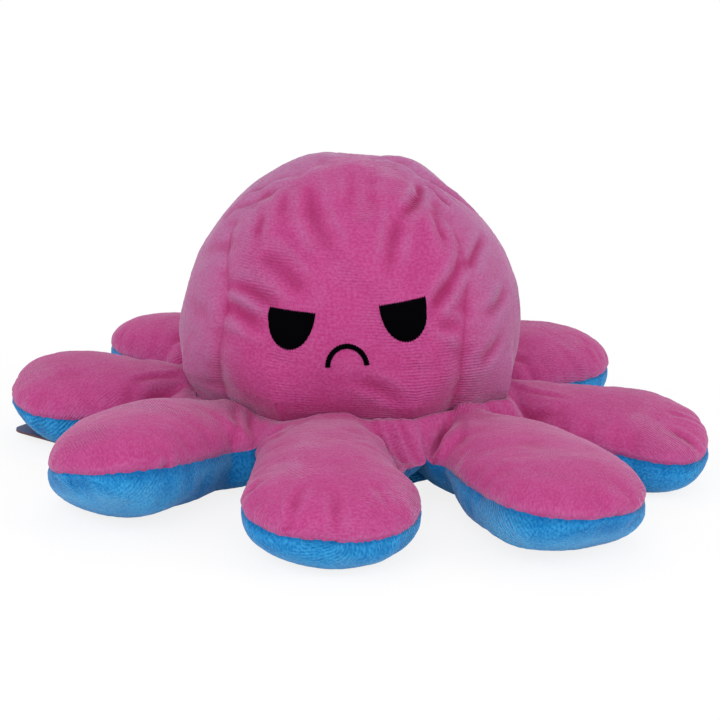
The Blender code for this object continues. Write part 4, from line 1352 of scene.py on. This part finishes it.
class OCTOPUS_OT_faces(bpy.types.Operator):
    """Embroider the cross face on the pink head and the glad face on the lining."""

    bl_idname = "octopus.faces"
    bl_label = "Faces"

    def execute(self, context):
        face = settings().face
        middle = (face.across, face.height)
        sizes = (face.eye_half_width, face.eye_drop, 0)
        for word, side in (("left", -1), ("right", 1)):
            centre = face_place(side * face.eye_offset, 0, middle, face.tilt)
            slant = face.eye_tilt + side * face.eye_slant
            build_eye(f"stitched_eye_{word}", on_head, centre, sizes, slant, f"eye_{word}")
        sizes = (face.mouth_half_width, face.mouth_height)
        centre = (0.0002, face.mouth_end_height)
        build_mouth("stitched_mouth", on_head, centre, sizes, face.tilt, 1, "mouth")
        for word, side in (("left", -1), ("right", 1)):
            centre = (side * LINING_EYE_OFFSET, LINING_EYE_HEIGHT)
            sizes = (LINING_EYE_RADIUS,) * 3
            build_eye(f"stitched_lining_eye_{word}", on_lining, centre, sizes, 0, f"lining_eye_{word}")
        centre = (0, LINING_SMILE_HEIGHT)
        build_mouth("stitched_lining_smile", on_lining, centre, LINING_SMILE_SIZES, 0, -1, "lining_smile")
        return {"FINISHED"}


# Materials


def new_material(name):
    """An empty node material and its shader."""
    material = bpy.data.materials.new(name)
    material.use_nodes = True
    tree = material.node_tree
    return tree, tree.nodes["Principled BSDF"]


def add_node(tree, kind, inputs=(), **options):
    """A node with options set and sockets given a value or a link."""
    node = tree.nodes.new(kind)
    for key, value in options.items():
        setattr(node, key, value)
    for socket, value in dict(inputs).items():
        if isinstance(value, bpy.types.NodeSocket):
            tree.links.new(value, node.inputs[socket])
        else:
            node.inputs[socket].default_value = value
    return node


def mix_colour(tree, share, first, second):
    """A colour mix, first where the share is nought."""
    node = tree.nodes.new("ShaderNodeMix")
    node.data_type = "RGBA"
    for socket, value in ((0, share), (6, first), (7, second)):
        if isinstance(value, bpy.types.NodeSocket):
            tree.links.new(value, node.inputs[socket])
        else:
            node.inputs[socket].default_value = value
    return node.outputs[2]


def scaled(tree, value, factor, added=0.0):
    """A value times a factor, plus another value."""
    inputs = {0: value, 1: factor, 2: added}
    return add_node(tree, "ShaderNodeMath", inputs, operation="MULTIPLY_ADD").outputs[0]


def stretched(tree, value, low, high):
    """A value's range from low to high, mapped to 0 to 1."""
    inputs = {"Value": value, "From Min": low, "From Max": high}
    return add_node(tree, "ShaderNodeMapRange", inputs).outputs[0]


def plush_material(name, base, tip, painted_light_tint, deep, rib_share, sheen_weight):
    """Short-pile plush: faint wavy ribs in places, uneven pile, patches of brushed nap.

    The pile is a noise drawn out along the ribs. An attribute of painted light mixes in a
    paler colour, more on the pile's tips, and an attribute of painted shade a deeper one.
    """
    sizes = settings()
    tree, shader = new_material(name)
    cloth = add_node(tree, "ShaderNodeUVMap", uv_map="cloth").outputs[0]
    place = add_node(tree, "ShaderNodeTexCoord").outputs["Object"]
    painted_shade = add_node(tree, "ShaderNodeAttribute", attribute_name="painted_shade").outputs["Fac"]
    painted_light = add_node(tree, "ShaderNodeAttribute", attribute_name="painted_light").outputs["Fac"]
    ribs = add_node(
        tree, "ShaderNodeTexWave",
        {"Vector": cloth, "Scale": WAVE_PERIOD / sizes.cloth.rib_pitch, "Distortion": 4.5, "Detail": 2.0,
         "Detail Scale": 0.28, "Detail Roughness": 0.75},
        wave_type="BANDS", bands_direction="Y",
    ).outputs["Fac"]
    area = add_node(
        tree, "ShaderNodeTexNoise", {"Vector": place, "Scale": 60.0, "Detail": 2.0},
    ).outputs["Fac"]
    area = stretched(tree, area, 0.47, 0.68)
    ribs = add_node(tree, "ShaderNodeMath", {0: ribs, 1: area}, operation="MULTIPLY").outputs[0]
    drawn = add_node(
        tree, "ShaderNodeVectorMath", {0: cloth, 1: (0.8, 1.0, 1.0)}, operation="MULTIPLY",
    ).outputs[0]
    pile = add_node(
        tree, "ShaderNodeTexNoise", {"Vector": drawn, "Scale": 1500.0, "Detail": 3.0, "Roughness": 0.65},
    ).outputs["Fac"]
    nap = add_node(
        tree, "ShaderNodeTexNoise",
        {"Vector": place, "Scale": 170.0, "Detail": 4.0, "Roughness": 0.66, "Distortion": 0.8},
    ).outputs["Fac"]
    weight = scaled(tree, stretched(tree, nap, 0.34, 0.68), 0.28, -0.21)
    weight = scaled(tree, stretched(tree, pile, 0.38, 0.62), 0.76, weight)
    weight = scaled(tree, ribs, rib_share, weight)
    weight = add_node(
        tree, "ShaderNodeMath", {0: weight, 1: 0.0}, operation="ADD", use_clamp=True,
    ).outputs[0]
    tint = mix_colour(tree, weight, (*base, 1), (*tip, 1))
    # Painted light: paler colour mixed in by its attribute, over the pile's speckle, as a painted sheen
    speckled = scaled(tree, weight, 0.62, 0.53)
    painted_light = add_node(tree, "ShaderNodeMath", {0: painted_light, 1: speckled}, operation="MULTIPLY").outputs[0]
    tint = mix_colour(tree, painted_light, tint, (*painted_light_tint, 1))
    # Painted shade: deeper colour mixed in by its attribute in creases
    tint = mix_colour(tree, scaled(tree, painted_shade, 0.70), tint, (*deep, 1))
    tree.links.new(tint, shader.inputs["Base Color"])
    relief = scaled(tree, pile, 0.7, scaled(tree, ribs, rib_share * 1.6))
    bump = add_node(tree, "ShaderNodeBump", {"Height": relief, "Strength": 1.0, "Distance": 0.00034})
    tree.links.new(bump.outputs[0], shader.inputs["Normal"])
    shader.inputs["Roughness"].default_value = 0.95
    shader.inputs["Specular IOR Level"].default_value = 0.10
    shader.inputs["Sheen Weight"].default_value = sheen_weight
    shader.inputs["Sheen Roughness"].default_value = 0.30
    shader.inputs["Sheen Tint"].default_value = (*sizes.colours.sheen, 1)


def thread_material():
    """Matt black embroidery thread with a fine twist."""
    tree, shader = new_material("Black thread")
    cloth = add_node(tree, "ShaderNodeUVMap", uv_map="cloth").outputs[0]
    twist = add_node(
        tree, "ShaderNodeTexWave",
        {"Vector": cloth, "Scale": WAVE_PERIOD / 0.00035, "Distortion": 1.5, "Detail": 1.0},
        wave_type="BANDS", bands_direction="DIAGONAL",
    ).outputs["Fac"]
    black = settings().colours.thread
    tint = mix_colour(tree, twist, (*black, 1), (*[value * 1.8 for value in black], 1))
    tree.links.new(tint, shader.inputs["Base Color"])
    bump = add_node(tree, "ShaderNodeBump", {"Height": twist, "Strength": 0.5, "Distance": 0.0001})
    tree.links.new(bump.outputs[0], shader.inputs["Normal"])
    shader.inputs["Roughness"].default_value = 0.55
    shader.inputs["Specular IOR Level"].default_value = 0.006


def card_material():
    """Coated navy card, a little worn, with a brownish cut edge."""
    colours = settings().colours
    tree, shader = new_material("Navy card")
    geometry = add_node(tree, "ShaderNodeNewGeometry").outputs["Normal"]
    split = add_node(tree, "ShaderNodeSeparateXYZ", {0: geometry}).outputs["Z"]
    upright = add_node(tree, "ShaderNodeMath", {0: split}, operation="ABSOLUTE").outputs[0]
    flat = stretched(tree, upright, 0.4, 0.6)
    place = add_node(tree, "ShaderNodeTexCoord").outputs["Object"]
    grain = add_node(
        tree, "ShaderNodeTexNoise", {"Vector": place, "Scale": 900.0, "Detail": 3.0},
    ).outputs["Fac"]
    face = mix_colour(tree, grain, (*colours.card, 1), (*[value * 1.6 for value in colours.card], 1))
    tint = mix_colour(tree, flat, (*colours.card_edge, 1), face)
    tree.links.new(tint, shader.inputs["Base Color"])
    bump = add_node(tree, "ShaderNodeBump", {"Height": grain, "Strength": 0.2, "Distance": 0.00005})
    tree.links.new(bump.outputs[0], shader.inputs["Normal"])
    shader.inputs["Roughness"].default_value = 0.5
    shader.inputs["Specular IOR Level"].default_value = 0.3


def nylon_material():
    """Pale translucent nylon with fine drawing lines."""
    tree, shader = new_material("Clear nylon")
    place = add_node(tree, "ShaderNodeTexCoord").outputs["Object"]
    lines = add_node(
        tree, "ShaderNodeTexNoise", {"Vector": place, "Scale": 2400.0, "Detail": 2.0},
    ).outputs["Fac"]
    nylon = settings().colours.nylon
    tint = mix_colour(tree, lines, (*nylon, 1), (*[value * 0.9 for value in nylon], 1))
    tree.links.new(tint, shader.inputs["Base Color"])
    bump = add_node(tree, "ShaderNodeBump", {"Height": lines, "Strength": 0.2, "Distance": 0.00003})
    tree.links.new(bump.outputs[0], shader.inputs["Normal"])
    shader.inputs["Roughness"].default_value = 0.35
    shader.inputs["Transmission Weight"].default_value = 0.25


def floor_material():
    """Pale floor that shows the object's shadow and is white to the camera and in gloss."""
    tree, shader = new_material("Pale floor")
    shader.inputs["Base Color"].default_value = (*settings().colours.floor, 1)
    shader.inputs["Roughness"].default_value = 0.9
    shader.inputs["Specular IOR Level"].default_value = 0.0
    ray = add_node(tree, "ShaderNodeLightPath")
    seen = add_node(
        tree, "ShaderNodeMath", {0: ray.outputs["Is Camera Ray"], 1: ray.outputs["Is Glossy Ray"]},
        operation="MAXIMUM",
    ).outputs[0]
    seen = add_node(
        tree, "ShaderNodeMath", {0: seen, 1: ray.outputs["Is Transmission Ray"]}, operation="MAXIMUM",
    ).outputs[0]
    place = add_node(tree, "ShaderNodeTexCoord").outputs["Object"]
    reach = add_node(tree, "ShaderNodeVectorMath", {0: place}, operation="LENGTH").outputs["Value"]
    clear = add_node(
        tree, "ShaderNodeMapRange",
        {"Value": reach, "From Min": 0.14, "From Max": 0.30, "To Min": 0.84, "To Max": 1.0},
    ).outputs[0]
    share = add_node(tree, "ShaderNodeMath", {0: seen, 1: clear}, operation="MULTIPLY").outputs[0]
    white = add_node(tree, "ShaderNodeEmission", {"Color": (1, 1, 1, 1), "Strength": 1.0})
    both = add_node(tree, "ShaderNodeMixShader", {0: share, 1: shader.outputs[0], 2: white.outputs[0]})
    tree.links.new(both.outputs[0], tree.nodes["Material Output"].inputs["Surface"])


class OCTOPUS_OT_materials(bpy.types.Operator):
    """Make the plushes, thread, card, nylon and floor materials."""

    bl_idname = "octopus.materials"
    bl_label = "Materials"

    def execute(self, context):
        colours = settings().colours
        pinks = (colours.pink, colours.pink_tip, colours.pink_painted_light, colours.pink_painted_shade)
        blues = (colours.blue, colours.blue_tip, colours.blue_painted_light, colours.blue_painted_shade)
        plush_material("Pink plush", *pinks, 0.36, 0.38)
        plush_material("Blue plush", *blues, 0.60, 0.24)
        thread_material()
        card_material()
        nylon_material()
        floor_material()
        return {"FINISHED"}


class OCTOPUS_OT_tag(bpy.types.Operator):
    """Finish the swing tag and its fastener, which keep their own shapes."""

    bl_idname = "octopus.tag"
    bl_label = "Swing tag"

    def execute(self, context):
        for node, material in (("swing_tag", "Navy card"), ("tag_fastener", "Clear nylon")):
            piece = frame["nodes"][node]
            piece.data.materials.clear()
            piece.data.materials.append(bpy.data.materials[material])
        return {"FINISHED"}


# Stage


def add_lamp(name, place, size, power):
    """A square area lamp that faces the toy."""
    lamp = bpy.data.lights.new(name, "AREA")
    lamp.shape = "SQUARE"
    lamp.size = size
    lamp.energy = power
    holder = bpy.data.objects.new(name, lamp)
    holder.location = place
    toward = Vector((0, 0, settings().stage.camera_target_height)) - Vector(place)
    holder.rotation_euler = toward.to_track_quat("-Z", "Y").to_euler()
    bpy.context.scene.collection.objects.link(holder)


def add_camera():
    """The camera of the photograph: a long lens in front, a little above, slightly rolled."""
    stage = settings().stage
    elevation, roll = stage.camera_elevation, stage.camera_roll
    back = Vector((0, -math.cos(elevation), math.sin(elevation)))
    right = Vector((1, 0, 0))
    up = Vector((0, math.sin(elevation), math.cos(elevation)))
    rolled_right = right * math.cos(roll) - up * math.sin(roll)
    rolled_up = right * math.sin(roll) + up * math.cos(roll)
    matrix = Matrix((rolled_right, rolled_up, back)).transposed().to_4x4()
    matrix.translation = Vector((0, 0, stage.camera_target_height)) + back * stage.camera_distance
    camera = bpy.data.cameras.new("Camera")
    camera.lens = stage.camera_lens
    camera.sensor_width = 36
    camera.clip_start = 0.01
    holder = bpy.data.objects.new("Camera", camera)
    holder.matrix_world = matrix
    bpy.context.scene.collection.objects.link(holder)
    bpy.context.scene.camera = holder


class OCTOPUS_OT_stage(bpy.types.Operator):
    """Add the floor, the sky, the lamps and the camera."""

    bl_idname = "octopus.stage"
    bl_label = "Stage"

    def execute(self, context):
        scene = context.scene
        stage = settings().stage
        scene.view_settings.view_transform = "Standard"
        half = FLOOR_HALF_WIDTH
        corners = [(-half, -half, 0), (half, -half, 0), (half, half, 0), (-half, half, 0)]
        mesh = bpy.data.meshes.new("Floor")
        mesh.from_pydata(corners, [], [(0, 1, 2, 3)])
        mesh.materials.append(bpy.data.materials["Pale floor"])
        floor = bpy.data.objects.new("Floor", mesh)
        scene.collection.objects.link(floor)
        world = bpy.data.worlds.new("Sky")
        world.use_nodes = True
        scene.world = world
        tree = world.node_tree
        sky = tree.nodes["Background"]
        sky.inputs["Color"].default_value = (1, 1, 1, 1)
        sky.inputs["Strength"].default_value = stage.sky_strength
        seen = add_node(tree, "ShaderNodeBackground", {"Color": (1, 1, 1, 1), "Strength": 1.0})
        ray = add_node(tree, "ShaderNodeLightPath")
        either = add_node(
            tree, "ShaderNodeMath", {0: ray.outputs["Is Camera Ray"], 1: ray.outputs["Is Glossy Ray"]},
            operation="MAXIMUM",
        ).outputs[0]
        both = add_node(tree, "ShaderNodeMixShader", {0: either, 1: sky.outputs[0], 2: seen.outputs[0]})
        tree.links.new(both.outputs[0], tree.nodes["World Output"].inputs["Surface"])
        add_lamp("Key lamp", (-0.25, -0.95, 0.75), 0.9, stage.key_power)
        add_lamp("Front lamp", (0.10, -1.15, 0.25), 0.7, stage.front_power)
        add_lamp("Left lamp", (-1.1, -0.3, 0.6), 0.8, stage.fill_power)
        add_lamp("Right lamp", (1.1, -0.3, 0.6), 0.8, 1.6 * stage.fill_power)
        add_lamp("Back lamp", (0.1, 1.0, 0.9), 0.8, stage.fill_power)
        add_camera()
        return {"FINISHED"}


class OCTOPUS_PT_panel(bpy.types.Panel):
    """Sidebar panel that lists the steps and the sizes."""

    bl_idname = "OCTOPUS_PT_panel"
    bl_label = "Plush octopus"
    bl_space_type = "VIEW_3D"
    bl_region_type = "UI"
    bl_category = "Plush octopus"

    def draw(self, context):
        for step in STEPS:
            self.layout.operator(step.bl_idname)
        for group in ("head", "arms", "cloth", "hollow", "face", "colours", "stage"):
            box = self.layout.box()
            box.label(text=group.capitalize())
            values = getattr(context.scene.plush_octopus, group)
            for key in type(values).__annotations__:
                box.prop(values, key)


GROUPS = (HeadSizes, ArmSizes, ClothSizes, HollowSizes, FaceSizes, Colours, StageSizes, PlushOctopus)
STEPS = (
    OCTOPUS_OT_materials, OCTOPUS_OT_head, OCTOPUS_OT_arms, OCTOPUS_OT_lining, OCTOPUS_OT_faces,
    OCTOPUS_OT_tag, OCTOPUS_OT_stage,
)


def register():
    """Register the classes and hang the property group on the scene."""
    for item in (*GROUPS, *STEPS, OCTOPUS_PT_panel):
        bpy.utils.register_class(item)
    bpy.types.Scene.plush_octopus = bpy.props.PointerProperty(type=PlushOctopus)


def unregister():
    """Take the property group and the classes away again."""
    del bpy.types.Scene.plush_octopus
    for item in reversed((*GROUPS, *STEPS, OCTOPUS_PT_panel)):
        bpy.utils.unregister_class(item)


def main():
    """Build everything in order."""
    register()
    bpy.ops.octopus.materials()
    bpy.ops.octopus.head()
    bpy.ops.octopus.arms()
    bpy.ops.octopus.lining()
    bpy.ops.octopus.faces()
    bpy.ops.octopus.tag()
    bpy.ops.octopus.stage()


if __name__ == "__main__":
    main()
